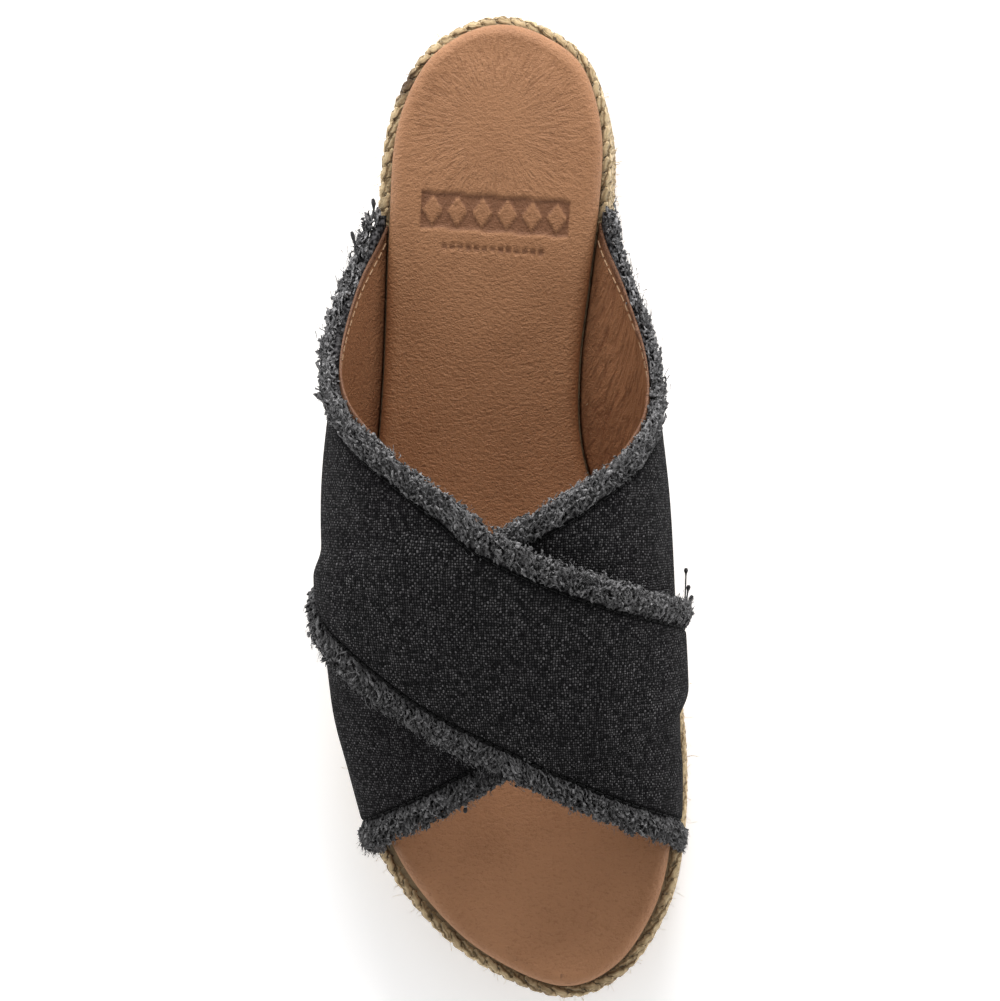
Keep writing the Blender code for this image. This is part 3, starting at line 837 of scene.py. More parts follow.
class Body:
    """Points and faces of one piece, gathered in turn."""

    def __init__(self) -> None:
        """Start empty."""
        self.points: list[Array] = []
        self.faces: list[tuple[int, ...]] = []
        self.count = 0

    def add(self, points: Array) -> Array:
        """Take in points and give their numbers, in the same arrangement."""
        flat = points.reshape(-1, 3)
        numbers = np.arange(self.count, self.count + len(flat)).reshape(points.shape[:-1])
        self.points.append(flat)
        self.count += len(flat)
        return numbers

    def strip(self, first: Array, second: Array, closed: bool) -> None:
        """Join two rows of points with quads.

        Args:
            first: Numbers of the first row.
            second: Numbers of the second row.
            closed: True where the rows close on themselves.
        """
        if closed:
            first, second = (np.append(row, row[0]) for row in (first, second))
        self.faces += zip(first[:-1].tolist(), first[1:].tolist(), second[1:].tolist(), second[:-1].tolist())

    def net(self, numbers: Array) -> None:
        """Join a net of points with quads."""
        for first, second in zip(numbers, numbers[1:]):
            self.strip(first, second, False)

    def ladder(self, ring: Array, points: Array, columns: int, shape: Callable[[Array], Array]) -> None:
        """Close a ring with rows of points from its lateral to its medial side.

        Args:
            ring: Numbers of the ring's points, from the heel's tip.
            points: The ring's points.
            columns: Steps across.
            shape: Puts the new points at their height.
        """
        half = len(ring) // 2
        lateral = np.arange(1, half)
        medial = len(ring) - lateral
        share = np.linspace(0.0, 1.0, columns + 1)[None, 1:-1, None]
        inner = shape(points[lateral][:, None] * (1.0 - share) + points[medial][:, None] * share)
        numbers = np.hstack([ring[lateral][:, None], self.add(inner), ring[medial][:, None]])
        self.net(numbers)
        for tip, row in ((ring[0], numbers[0]), (ring[half], numbers[-1])):
            self.faces += [(int(tip), int(a), int(b)) for a, b in zip(row, row[1:])]

    def mesh(self, name: str) -> Mesh:
        """Make the mesh, with its faces pointing out.

        Args:
            name: The mesh's name.

        Returns:
            The mesh, shaded smooth.
        """
        mesh = bpy.data.meshes.new(name)
        mesh.from_pydata(np.vstack(self.points).tolist(), [], self.faces)
        bm = bmesh.new()
        bm.from_mesh(mesh)
        bmesh.ops.recalc_face_normals(bm, faces=bm.faces)
        bm.to_mesh(mesh)
        bm.free()
        mesh.shade_smooth()
        return mesh


def shell(name: str, top: Array, low: Array) -> Mesh:
    """Closed sheet between two nets of points.

    Args:
        name: The mesh's name.
        top: Points of the outer face.
        low: Points of the inner face, in the same net.

    Returns:
        The mesh; its points are the outer face's, then the inner face's.
    """
    body = Body()
    faces = [body.add(net) for net in (top, low)]
    for net in faces:
        body.net(net)
    borders = [np.concatenate([net[0], net[1:, -1], net[-1, -2::-1], net[-2:0:-1, 0]]) for net in faces]
    body.strip(borders[0], borders[1], True)
    return body.mesh(name)


def write_chart(mesh: Mesh, name: str, places: Array) -> None:
    """Store a UV map given at the mesh's points, in metres."""
    corners = np.zeros(len(mesh.loops), np.int32)
    mesh.loops.foreach_get("vertex_index", corners)
    chart = mesh.uv_layers.new(name=name)
    chart.uv.foreach_set("vector", places[corners].astype(np.float32).ravel())


def write_number(mesh: Mesh, name: str, values: Array, kind: str = "FLOAT") -> None:
    """Store a number, or a vector, at each of the mesh's points."""
    layer = mesh.attributes.new(name, kind, "POINT")
    layer.data.foreach_set("value" if kind == "FLOAT" else "vector", values.astype(np.float32).ravel())


def make_object(mesh: Mesh) -> Piece:
    """Put a mesh into the scene under its own name."""
    made = bpy.data.objects.new(mesh.name, mesh)
    bpy.context.scene.collection.objects.link(made)
    return made


def dress(piece: Piece, material: Material, slot: str, *replaced: str) -> Piece:
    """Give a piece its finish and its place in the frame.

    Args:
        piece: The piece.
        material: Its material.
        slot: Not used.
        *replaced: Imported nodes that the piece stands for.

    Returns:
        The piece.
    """
    piece.data.materials.clear()
    piece.data.materials.append(material)
    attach(piece, BODY)
    if replaced:
        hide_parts(*replaced)
    LOG.info("%s: %d faces", piece.name, len(piece.data.polygons))
    return piece


class Growth(Wiring):
    """A Geometry Nodes tree with named sizes, run once on a guide and then made plain mesh."""

    socket_types = {float: "NodeSocketFloat", int: "NodeSocketInt", Material: "NodeSocketMaterial"}

    def __init__(self, name: str, material: Material, **sizes: float) -> None:
        """Open the tree.

        Args:
            name: The tree's name.
            material: Material of all that grows.
            **sizes: The tree's inputs, with spaces written as underscores.
        """
        super().__init__(bpy.data.node_groups.new(name, "GeometryNodeTree"))
        face = self.tree.interface
        face.new_socket("Guide", in_out="INPUT", socket_type="NodeSocketGeometry")
        face.new_socket("Geometry", in_out="OUTPUT", socket_type="NodeSocketGeometry")
        self.values: dict[str, Any] = {}
        for label, value in {**sizes, "Material": material}.items():
            socket_type = self.socket_types[type(value)]
            socket = face.new_socket(label.replace("_", " "), in_out="INPUT", socket_type=socket_type)
            self.values[socket.identifier] = value
        self.given = self.tree.nodes.new("NodeGroupInput")

    def __getitem__(self, label: str) -> Socket:
        """One of the tree's inputs, by name."""
        return self.given.outputs[label]

    def named(self, name: str, data_type: str = "FLOAT_VECTOR") -> Socket:
        """Attribute of the guide."""
        return self.node("GeometryNodeInputNamedAttribute", {"Name": name}, data_type=data_type).outputs[0]

    def store(
        self, geometry: Any, name: str, value: Any, domain: str = "POINT", kind: str = "FLOAT"
    ) -> Socket:
        """Store a number or a vector under a name that the materials read."""
        inputs = {"Geometry": geometry, "Name": name, "Value": value}
        return self.node("GeometryNodeStoreNamedAttribute", inputs, data_type=kind, domain=domain).outputs[0]

    def spot(self) -> Socket:
        """Where a point is."""
        return self.node("GeometryNodeInputPosition").outputs[0]

    def share(self) -> Socket:
        """How far along its curve a point is, from 0 to 1."""
        return self.node("GeometryNodeSplineParameter").outputs["Factor"]

    def circle(self, facets: Any, radius: Any) -> Socket:
        """Round profile."""
        inputs = {"Resolution": facets, "Radius": radius}
        return self.node("GeometryNodeCurvePrimitiveCircle", inputs).outputs[0]

    def line(self, points: Any, start: Any = ORIGIN, end: Any = (0.0, 0.0, 1.0)) -> Socket:
        """Straight curve with a number of points."""
        plain = self.node("GeometryNodeCurvePrimitiveLine", {"Start": start, "End": end}).outputs[0]
        return self.node("GeometryNodeResampleCurve", {"Curve": plain, "Count": points}).outputs[0]

    def tube(self, curve: Any, profile: Any, capped: bool = True) -> Socket:
        """Skin round a curve."""
        inputs = {0: curve, 1: profile, "Scale": 1.0, "Fill Caps": capped}
        return self.node("GeometryNodeCurveToMesh", inputs).outputs[0]

    def thickness(self, curve: Any, radius: Any) -> Socket:
        """A curve with its own radius."""
        return self.node("GeometryNodeSetCurveRadius", {"Curve": curve, "Radius": radius}).outputs[0]

    def facing(self, vector: Any) -> Socket:
        """Rotation that turns +Z along a vector."""
        return self.node("FunctionNodeAlignRotationToVector", {"Vector": vector}, axis="Z").outputs[0]

    def planted(self, points: Any, instance: Any, rotation: Any, scale: Any = (1.0, 1.0, 1.0)) -> Socket:
        """One instance at each point."""
        inputs = {"Points": points, "Instance": instance, "Rotation": rotation, "Scale": scale}
        return self.node("GeometryNodeInstanceOnPoints", inputs).outputs[0]

    def real(self, geometry: Any) -> Socket:
        """Instances turned into geometry of their own."""
        return self.node("GeometryNodeRealizeInstances", {0: geometry}).outputs[0]

    def pushed(self, geometry: Any, place: Any, scale: Any, reach: Any) -> Socket:
        """Geometry moved about by noise.

        Args:
            geometry: What moves.
            place: Coordinates of the noise.
            scale: Its scale.
            reach: How far it moves each point.

        Returns:
            The moved geometry.
        """
        centred = self.vectors("SUBTRACT", self.noise(place, scale, 1.0, "Color"), (0.5, 0.5, 0.5))
        inputs = {"Geometry": geometry, "Offset": self.scaled(centred, reach)}
        return self.node("GeometryNodeSetPosition", inputs).outputs[0]

    def grow(self, guide: Mesh, geometry: Socket) -> Piece:
        """Close the tree, run it on a guide and keep the result as plain mesh.

        Args:
            guide: Mesh that the tree starts from.
            geometry: What the tree has made.

        Returns:
            The new piece, named after the guide.
        """
        smooth = self.node("GeometryNodeSetShadeSmooth", {0: self.real(geometry)}).outputs[0]
        coated = self.node("GeometryNodeSetMaterial", {0: smooth, "Material": self["Material"]}).outputs[0]
        self.node("NodeGroupOutput", {0: coated})
        source = make_object(guide)
        modifier = source.modifiers.new(self.tree.name, "NODES")
        modifier.node_group = self.tree
        for identifier, value in self.values.items():
            modifier[identifier] = value
        depsgraph = bpy.context.evaluated_depsgraph_get()
        mesh = bpy.data.meshes.new_from_object(source.evaluated_get(depsgraph))
        source.modifiers.remove(modifier)
        source.data = mesh
        mesh.name = source.name
        return source


def path_mesh(name: str, paths: Sequence[Array], **vectors: Array) -> Mesh:
    """Guide of plain edges along paths.

    Args:
        name: The mesh's name.
        paths: Points of each path.
        **vectors: Vectors to store at all the points in turn.

    Returns:
        The mesh.
    """
    edges = []
    start = 0
    for path in paths:
        numbers = list(range(start, start + len(path)))
        edges += zip(numbers, numbers[1:])
        start += len(path)
    mesh = bpy.data.meshes.new(name)
    mesh.from_pydata(np.vstack(paths).tolist(), edges, [])
    for label, values in vectors.items():
        write_number(mesh, label, values, "FLOAT_VECTOR")
    return mesh


@dataclass
class Insole:
    """Padded leather insole with a rounded edge, a fan of creases at the heel and a pressed panel."""

    bed: FootBed
    finish: LeatherFinish
    stations: int = 420
    columns: int = 140
    edge_radius: float = 3.4 * MM
    edge_steps: int = 6
    crown: float = 0.7 * MM
    heel_centre: tuple[float, float] = (-0.7 * MM, 99.4 * MM)
    heel_reach: float = 34.0 * MM
    panel_centre: tuple[float, float] = (-1.2 * MM, 77.6 * MM)
    panel_size: tuple[float, float] = (39.2 * MM, 9.6 * MM)
    panel_turn: float = math.radians(-4.2)
    panel_depth: float = 0.6 * MM
    press_softness: float = 0.3 * MM
    lozenges: int = 6
    lozenge_share: float = 0.86
    lozenge_rise: float = 0.85
    dash_depth: float = 0.9
    dash_half_length: float = 0.32
    dash_half_width: float = 0.55 * MM
    dash_row: float = -9.2 * MM
    dash_span: float = 27.5 * MM
    dashes: int = 13
    quiet_centre: float = 9.0 * MM
    fold_height: float = 0.03 * MM
    cup_depth: float = 0.6 * MM
    pillow_reach: float = 14.0 * MM
    plain_border: float = 5.0 * MM
    crinkle_length: float = 2.8 * MM
    crinkles_round: float = 21.0

    def pressed(self, x: Array, y: Array) -> Array:
        """How deep the press sank, from 0 to 1: a panel with plain lozenges, and a row of dashes below.

        Args:
            x: Places across the foot.
            y: Places along it.

        Returns:
            Shares of the panel's depth.
        """
        c, s = math.cos(self.panel_turn), math.sin(self.panel_turn)
        u = (x - self.panel_centre[0]) * c + (y - self.panel_centre[1]) * s
        v = (y - self.panel_centre[1]) * c - (x - self.panel_centre[0]) * s
        width, height = self.panel_size
        soft = self.press_softness
        edge = np.minimum(width / 2.0 - np.abs(u), height / 2.0 - np.abs(v))
        panel = smooth_step(edge / soft)
        pitch = width / self.lozenges
        inside = np.mod(u + width / 2.0, pitch) - pitch / 2.0
        across = np.abs(inside) / (self.lozenge_share * pitch)
        lozenge = 0.5 - across - np.abs(v) / (self.lozenge_share * height)
        raised = smooth_step(lozenge * pitch / soft) * panel
        step = self.dash_span / self.dashes
        dash = np.mod(u + self.dash_span / 2.0, step) - step / 2.0
        ends = self.dash_half_length * step - np.abs(dash)
        edge = np.minimum(ends, self.dash_half_width - np.abs(v - self.dash_row))
        dashes = smooth_step(edge / soft + 0.5) * (np.abs(u) < self.dash_span / 2.0)
        return np.maximum(panel - self.lozenge_rise * raised, self.dash_depth * dashes)

    def fan(self, x: Array, y: Array) -> tuple[Array, Array]:
        """Distance from the heel's centre and angle round it."""
        dx, dy = x - self.heel_centre[0], y - self.heel_centre[1]
        return np.hypot(dx, dy), np.arctan2(dy, dx)

    def surface(self, points: Array) -> Array:
        """Put points of the top at their height.

        Args:
            points: Points in the shoe's frame.

        Returns:
            The same points on the padded surface.
        """
        x, y = points[..., 0], points[..., 1]
        along = 0.5 - y / self.bed.length
        radius, angle = self.fan(x, y)
        near = smooth_step((self.heel_reach - radius) / self.heel_reach)
        near = near * smooth_step(radius / self.quiet_centre)
        broad = np.sin(angle * 23.0 + 2.0 * np.sin(angle * 5.0))
        waves = broad + 0.6 * np.sin(angle * 41.0 + radius / (3.0 * MM))
        folds = self.fold_height * near * waves
        cup = self.cup_depth * ripple(radius, 0.0, 0.6 * self.heel_reach)
        sides = [(x - self.bed.side_x(Side.LATERAL, along)), (self.bed.side_x(Side.MEDIAL, along) - x)]
        inside = np.minimum(np.minimum(*sides), self.bed.length / 2.0 - np.abs(y)) - self.edge_radius
        pillow = self.crown * smooth_step(inside / self.pillow_reach)
        relief = smooth_step(inside / self.plain_border) * (folds - cup)
        shaped = points.copy()
        shaped[..., 2] = self.bed.height(along) + pillow + relief - self.panel_depth * self.pressed(x, y)
        return shaped

    def build(self) -> Piece:
        """Make the insole.

        Returns:
            The dressed piece.
        """
        bed = self.bed
        ring = bed.ring(self.stations)
        body = Body()
        turns = [0.5 * math.pi * step / self.edge_steps for step in range(self.edge_steps + 1)]
        levels = [(0.0, bed.insole_thickness), (0.0, 0.5 * (bed.insole_thickness + self.edge_radius))]
        corner = self.edge_radius
        levels += [(corner * (1.0 - math.cos(turn)), corner * (1.0 - math.sin(turn))) for turn in turns]
        layers = [bed.placed(ring, -inset, bed.under(drop)) for inset, drop in levels]
        numbers = [body.add(layer) for layer in layers]
        for lower, upper in zip(numbers, numbers[1:]):
            body.strip(lower, upper, True)
        body.ladder(numbers[-1], layers[-1], self.columns, self.surface)
        body.ladder(numbers[0], layers[0], 6, lambda points: points)
        mesh = body.mesh("insole_pad")
        points = np.vstack(body.points)
        radius, angle = self.fan(points[:, 0], points[:, 1])
        round_heel = [self.crinkles_round * np.cos(angle), self.crinkles_round * np.sin(angle)]
        flow = [radius / self.crinkle_length, *round_heel]
        write_number(mesh, "flow", np.stack(flow, 1), "FLOAT_VECTOR")
        crinkle = smooth_step((self.heel_reach - radius) / (0.5 * self.heel_reach))
        write_number(mesh, "crinkle", crinkle * smooth_step((radius - self.plain_border) / self.quiet_centre))
        write_number(mesh, "pressed", self.pressed(points[:, 0], points[:, 1]))
        piece = dress(make_object(mesh), self.finish.material(), "insole_leather", "insole")
        return piece


@dataclass
class Lining:
    """Leather lining of one strap, from base to base."""

    strap: Strap
    creases: tuple[Crease, ...]
    columns: int = 200
    rows: int = 60
    shown_inset: float = 0.5 * MM
    hidden_inset: float = 3.0 * MM
    tip_inset: float = 3.0 * MM
    stitch_inset: float = 2.2 * MM
    shown_end: float = 0.42
    shown_fade: float = 0.14
    tip_girth: float = 0.1
    lift: float = 0.1 * MM
    fold_slant: float = -0.55
    fold_length: float = 7.0 * MM
    fold_pitch: float = 1.9 * MM
    rim: float = 0.02

    def edge(self, girth: Array, edge: Edge, inset: float = 0.0) -> Array:
        """Shares of the length at a distance inside the lining's edge.

        Args:
            girth: Shares of the girth.
            edge: The edge of the strap.
            inset: Distance inside the lining's edge.

        Returns:
            The places. The leather shows up to the yarns' tips only on the open side of the rear edge.
        """
        climb = self.strap.climb(girth)
        shown = smooth_step((self.shown_end - climb) / self.shown_fade) * (edge is Edge.REAR)
        own = self.hidden_inset + (self.shown_inset - self.hidden_inset) * shown
        at_tip = smooth_step((self.tip_girth - climb) / self.tip_girth) * (edge is Edge.REAR)
        own = own + self.tip_inset * at_tip
        return self.strap.beyond(girth, edge, self.strap.fringe_length - own - inset)

    def build(self, material: Material) -> Piece:
        """Make the lining.

        Args:
            material: The lining leather.

        Returns:
            The dressed piece.
        """
        strap = self.strap
        girth = np.linspace(0.0, 1.0, self.columns)[:, None]
        share = np.linspace(0.0, 1.0, self.rows)[None, :]
        rear, front = (self.edge(girth, edge) for edge in Edge)
        along = rear + (front - rear) * share
        scale = (strap.last.girth_length, strap.last.bed.length)
        relief = sum((crease.relief(girth, along, scale) for crease in self.creases), np.zeros(1))
        top = strap.point(along, girth, strap.lining)
        low = strap.point(along, girth, self.lift + np.minimum(relief, 0.5 * strap.lining))
        mesh = shell(f"{strap.name}_lining", top, low)
        s = np.broadcast_to(girth * scale[0], along.shape)
        t = along * scale[1]
        cosine, sine = math.cos(self.fold_slant), math.sin(self.fold_slant)
        down = (t * cosine - s * sine) / self.fold_length
        over = (s * cosine + t * sine) / self.fold_pitch
        flow = np.stack([down, over, np.zeros_like(down)], -1)
        write_number(mesh, "flow", np.tile(flow.reshape(-1, 3), (2, 1)), "FLOAT_VECTOR")
        crinkle = np.broadcast_to(0.25 + 0.75 * smooth_step((girth - 0.55) / 0.2), along.shape)
        write_number(mesh, "crinkle", np.tile(crinkle.ravel(), 2))
        # A darker band along the two edges of the lining.
        darker_rim = np.broadcast_to((share < self.rim) | (share > 1.0 - self.rim), along.shape)
        write_number(mesh, "pressed", np.tile(darker_rim.ravel(), 2))
        return dress(make_object(mesh), material, "strap_lining")


@dataclass
class Canvas:
    """Woven outer cloth of one strap, with a stitched groove and a frayed ground beyond it."""

    strap: Strap
    columns: int = 220
    rows: int = 34
    ground: float = 5.7 * MM
    edge_rows: tuple[float, ...] = (
        5.7, 4.6, 3.5, 2.4, 1.6, 1.1, 0.7, 0.35, 0.0, -0.35, -0.7, -1.1, -1.7, -2.6
    )
    groove_depth: float = 0.7 * MM
    groove_width: float = 0.65 * MM
    ground_drop: float = 0.7 * MM
    lining_gap: float = 0.1 * MM

    def outer_height(self, along: Array, girth: Array) -> Array:
        """Height of the cloth's outer face above the strap's seat.

        Args:
            along: Shares of the length.
            girth: Shares of the girth.

        Returns:
            Heights above the inner face.
        """
        strap = self.strap
        height = strap.wall + strap.relief(along, girth)
        for edge in Edge:
            outside = strap.outside(along, girth, edge)
            height = height - self.groove_depth * ripple(outside, 0.0, self.groove_width)
            height = height - self.ground_drop * smooth_step(outside / self.ground)
            height = height + 0.5 * strap.flare(girth, edge) * smooth_step(outside / strap.flare_reach)
        return height

    def build(self, material: Material) -> Piece:
        """Make the cloth.

        Args:
            material: The canvas.

        Returns:
            The dressed piece.
        """
        strap = self.strap
        girth = np.linspace(0.0, 1.0, self.columns)[:, None]
        share = np.linspace(0.0, 1.0, self.rows)[None, 1:-1]
        stations = np.array(self.edge_rows)[None, :] * MM
        rear = strap.beyond(girth, Edge.REAR, stations)
        front = strap.beyond(girth, Edge.FRONT, stations[:, ::-1])
        along = np.hstack([rear, rear[:, -1:] + (front[:, :1] - rear[:, -1:]) * share, front])
        top = strap.point(along, girth, self.outer_height(along, girth))
        low = strap.point(along, girth, strap.lining + self.lining_gap)
        mesh = shell(f"{strap.name}_canvas", top, low)
        s = np.broadcast_to(girth * strap.last.girth_length, along.shape)
        chart = np.stack([s, along * strap.last.bed.length], -1).reshape(-1, 2)
        write_chart(mesh, "weave", np.tile(chart, (2, 1)))
        outside = np.maximum(*(strap.outside(along, girth, edge) for edge in Edge))
        write_number(mesh, "frayed", np.tile(smooth_step(outside / MM).ravel(), 2))
        # The number "groove" paints shadow into the stitched groove.
        write_number(mesh, "groove", np.tile(ripple(outside, 0.0, 0.8 * MM).ravel(), 2))
        return dress(make_object(mesh), material, "strap_canvas", "upper")


@dataclass(frozen=True)
class TuftKind:
    """One kind of loose yarn: its sizes, where it grows and how unruly it is."""

    name: str
    per_metre: float
    radius: float
    points: int
    curl: float
    crimp: float
    root_reach: tuple[float, float]
    yarn_length: tuple[float, float]
    rim: float
    tip_lift: tuple[float, float]
    stray: float
    first_seed: int


FRINGE = TuftKind(
    "fringe", per_metre=9000.0, radius=0.33 * MM, points=9, curl=3.0 * MM, crimp=2.6 * MM,
    root_reach=(0.2 * MM, 6.5 * MM), yarn_length=(1.4 * MM, 3.6 * MM), rim=7.1 * MM,
    tip_lift=(0.1 * MM, 1.6 * MM), stray=1.5 * MM, first_seed=0,
)
FUZZ = TuftKind(
    "fuzz", per_metre=2600.0, radius=0.045 * MM, points=6, curl=3.4 * MM, crimp=1.8 * MM,
    root_reach=(1.5 * MM, 6.4 * MM), yarn_length=(1.8 * MM, 4.2 * MM), rim=8.4 * MM,
    tip_lift=(0.5 * MM, 3.0 * MM), stray=1.6 * MM, first_seed=50,
)


@dataclass
class Tufts:
    """Loose yarns of one kind that stand in the frayed band along one edge of a strap."""

    strap: Strap
    kind: TuftKind
    edge: Edge
    span: tuple[float, float]
    paleness: float
    seed: int
    clump: float = 3.6 * MM
    scallop: float = 0.7 * MM
    roll: float = 1.1 * MM
    hanging: float = 0.76
    lowest: float = 0.35
    sunk: float = 0.5 * MM
    facets: int = 3
    rim_paleness: float = 0.45
    broad_waves: float = 330.0
    fine_waves: float = 1050.0

    def guide(self) -> Mesh:
        """Roots of all the yarns, with the way that each one runs.

        Returns:
            Mesh of loose points with the vectors "aim" and "side" and the number "far", how near the rim.
        """
        draw = np.random.default_rng(self.seed)
        strap, kind, edge = self.strap, self.kind, self.edge
        girth_length = strap.last.girth_length
        first, last = self.span
        longer = float(np.mean(strap.stretch(np.linspace(first, last, 50), edge)))
        count = int(abs(last - first) * girth_length * longer * kind.per_metre)
        girth = draw.uniform(first, last, count)
        step = self.clump / girth_length
        number = np.floor(girth / step).astype(int)
        jitter = draw.uniform(-0.3, 0.3, number.max() + 1)
        fullness = draw.uniform(-0.5, 0.3, number.max() + 1)
        centre = (number + 0.5 + jitter[number]) * step
        loose = draw.normal(0.0, kind.stray / girth_length, count)
        tip_girth = np.clip(girth + (centre - girth) * 0.5 + loose, 0.0, 1.0)
        lump = fullness[number] * MM - self.scallop * np.minimum((2.0 * (girth - centre) / step) ** 2, 1.0)
        root_out = draw.uniform(*kind.root_reach, count)
        rim = kind.rim + lump + draw.uniform(-0.5, 0.4, count) * MM
        tip_out = np.maximum(np.minimum(root_out + draw.uniform(*kind.yarn_length, count), rim), root_out)
        base = strap.wall - self.sunk
        flat = 1.0 - 0.5 * smooth_step((strap.climb(tip_girth) - 0.8) / 0.15)
        bulge = self.roll * np.sin(np.pi * np.clip(np.stack([root_out, tip_out]) / kind.rim, 0.0, 1.0))
        spread = strap.flare(tip_girth, edge) * draw.uniform(self.lowest, 1.0, count)
        low = np.where(root_out > self.hanging * kind.rim, draw.uniform(self.lowest, 1.0, count), 1.0)
        raised = 0.5 * strap.flare(girth, edge) * smooth_step(root_out / strap.flare_reach)
        root_lift = low * (base + flat * bulge[0] + raised + draw.uniform(-0.1, 0.3, count) * MM)
        tip_lift = low * (base + flat * (bulge[1] + draw.uniform(*kind.tip_lift, count)) + spread)
        root_along = strap.beyond(girth, edge, root_out)
        root = strap.point(root_along, girth, root_lift)
        tip = strap.point(strap.beyond(tip_girth, edge, tip_out), tip_girth, tip_lift)
        side = strap.point(root_along, girth, base + MM) - strap.point(root_along, girth, base)
        mesh = path_mesh(f"{strap.name}_{edge.name.lower()}_{kind.name}", [root], aim=tip - root, side=side)
        write_number(mesh, "far", smooth_step(tip_out / kind.rim - 0.1))
        return mesh

    def build(self, material: Material) -> Piece:
        """Grow the yarns.

        Args:
            material: The yarn.

        Returns:
            The dressed piece.
        """
        kind = self.kind
        guide = self.guide()
        tree = Growth(
            guide.name, material, Radius=kind.radius, Points=kind.points, Facets=self.facets,
            Curl=kind.curl, Crimp=kind.crimp, Paleness=self.paleness, Seed=self.seed
        )
        points = tree.node("GeometryNodeMeshToPoints", {0: tree["Guide"]}).outputs[0]
        share = tree.share()
        marked = tree.store(tree.line(tree["Points"]), "tip", share)
        thin = tree.thickness(marked, tree.spread(share, 0.7, 1.0, 1.0, 0.7))
        yarn = tree.tube(thin, tree.circle(tree["Facets"], tree["Radius"]))
        aim = tree.named("aim")
        rolled = tree.node("FunctionNodeAlignRotationToVector", {
            "Rotation": tree.facing(aim), "Vector": tree.named("side")
        }, axis="X", pivot_axis="Z").outputs[0]
        reach = tree.vectors("LENGTH", aim, output="Value")
        planted = tree.planted(points, yarn, rolled, tree.vector(1.0, 1.0, reach))
        shade = tree.node("FunctionNodeRandomValue", {"Seed": tree["Seed"]}, data_type="FLOAT").outputs[1]
        paler = tree.times(tree.named("far", "FLOAT"), self.rim_paleness)
        # The edge's paleness scales the yarn's tone; its lower value on front edges is painted shade.
        own_shade = tree.times(tree.plus(shade, paler), tree["Paleness"])
        real = tree.real(tree.store(planted, "shade", own_shade, "INSTANCE"))
        loose = tree.maths("POWER", tree.named("tip", "FLOAT"), 0.6)
        apart = tree.vector(0.0, 0.0, tree.times(tree.named("shade", "FLOAT"), 0.05))
        own = tree.vectors("ADD", tree.spot(), apart)
        bent = tree.pushed(real, own, self.broad_waves, tree.times(tree["Curl"], loose))
        wavy = tree.pushed(bent, own, self.fine_waves, tree.times(tree["Crimp"], loose))
        return dress(tree.grow(guide, wavy), material, "fringe_yarn")


@dataclass
class LooseEnds:
    """Single yarns that hang out of the fringe at listed places, each with a small knot at its end."""

    name: str
    strap: Strap
    spots: tuple[tuple[Edge, float, float, float], ...]
    start: float = 4.5 * MM
    radius: float = 0.2 * MM
    knot: float = 0.6 * MM
    facets: int = 7
    steps: int = 18

    def build(self, material: Material) -> Piece:
        """Draw each yarn as a thin tube, from its edge, girth, reach beyond the fringe and rise.

        Args:
            material: The yarn.

        Returns:
            The dressed piece.
        """
        body = Body()
        strap = self.strap
        share = np.linspace(0.0, 1.0, self.steps)
        turns = np.linspace(0.0, 2.0 * np.pi, self.facets, endpoint=False)[None, :, None]
        for edge, girth, reach, rise in self.spots:
            length = strap.fringe_length - self.start + reach
            spot = girth + 0.004 * share * np.sin(5.0 * share)
            along = strap.beyond(spot, edge, self.start + length * share)
            line = strap.point(along, spot, strap.wall + rise * share)
            swelling = np.exp(-(((share - 1.0) * length / self.knot + 1.0) ** 2))
            radius = (self.radius + (self.knot - self.radius) * swelling)[:, None, None]
            run = np.gradient(line, axis=0)
            side = np.cross(run, (0.3, 0.5, 0.8))
            side /= np.linalg.norm(side, axis=1)[:, None]
            up = np.cross(side, run)
            up /= np.linalg.norm(up, axis=1)[:, None]
            tube = line[:, None] + radius * (side[:, None] * np.cos(turns) + up[:, None] * np.sin(turns))
            numbers = body.add(tube)
            for first, second in zip(numbers, numbers[1:]):
                body.strip(first, second, True)
            body.faces += [tuple(numbers[0].tolist()), tuple(numbers[-1].tolist())]
        return dress(make_object(body.mesh(self.name)), material, "fringe_yarn")


@dataclass
class Seam:
    """A run of stitches along a path."""

    name: str
    paths: list[Array]
    pitch: float
    length: float
    radius: float
    points: int = 6
    facets: int = 6

    def build(self, material: Material) -> Piece:
        """Sew the seam.

        Args:
            material: The thread.

        Returns:
            The dressed piece.
        """
        tree = Growth(self.name, material, Pitch=self.pitch, Length=self.length, Radius=self.radius)
        curve = tree.node("GeometryNodeMeshToCurve", {0: tree["Guide"]}).outputs[0]
        inputs = {"Curve": curve, "Length": tree["Pitch"]}
        marks = tree.node("GeometryNodeCurveToPoints", inputs, mode="LENGTH")
        half = tree.times(tree["Length"], 0.5)
        ends = [tree.vector(0.0, 0.0, end) for end in (tree.times(half, -1.0), half)]
        bulge = tree.maths("SINE", tree.times(tree.share(), math.pi))
        swollen = tree.thickness(tree.line(self.points, *ends), tree.spread(bulge, 0.0, 0.7, 0.35, 1.0))
        stitch = tree.tube(swollen, tree.circle(self.facets, tree["Radius"]))
        planted = tree.planted(marks.outputs["Points"], stitch, tree.facing(marks.outputs["Tangent"]))
        return dress(tree.grow(path_mesh(self.name, self.paths), planted), material, "stitch_thread")


@dataclass
class PlaitPath:
    """Where one plait lies: points at the middle of its height, unit vectors out and up, and its height."""

    centre: Array
    outward: Array
    up: Array
    height: Array
    closed: bool


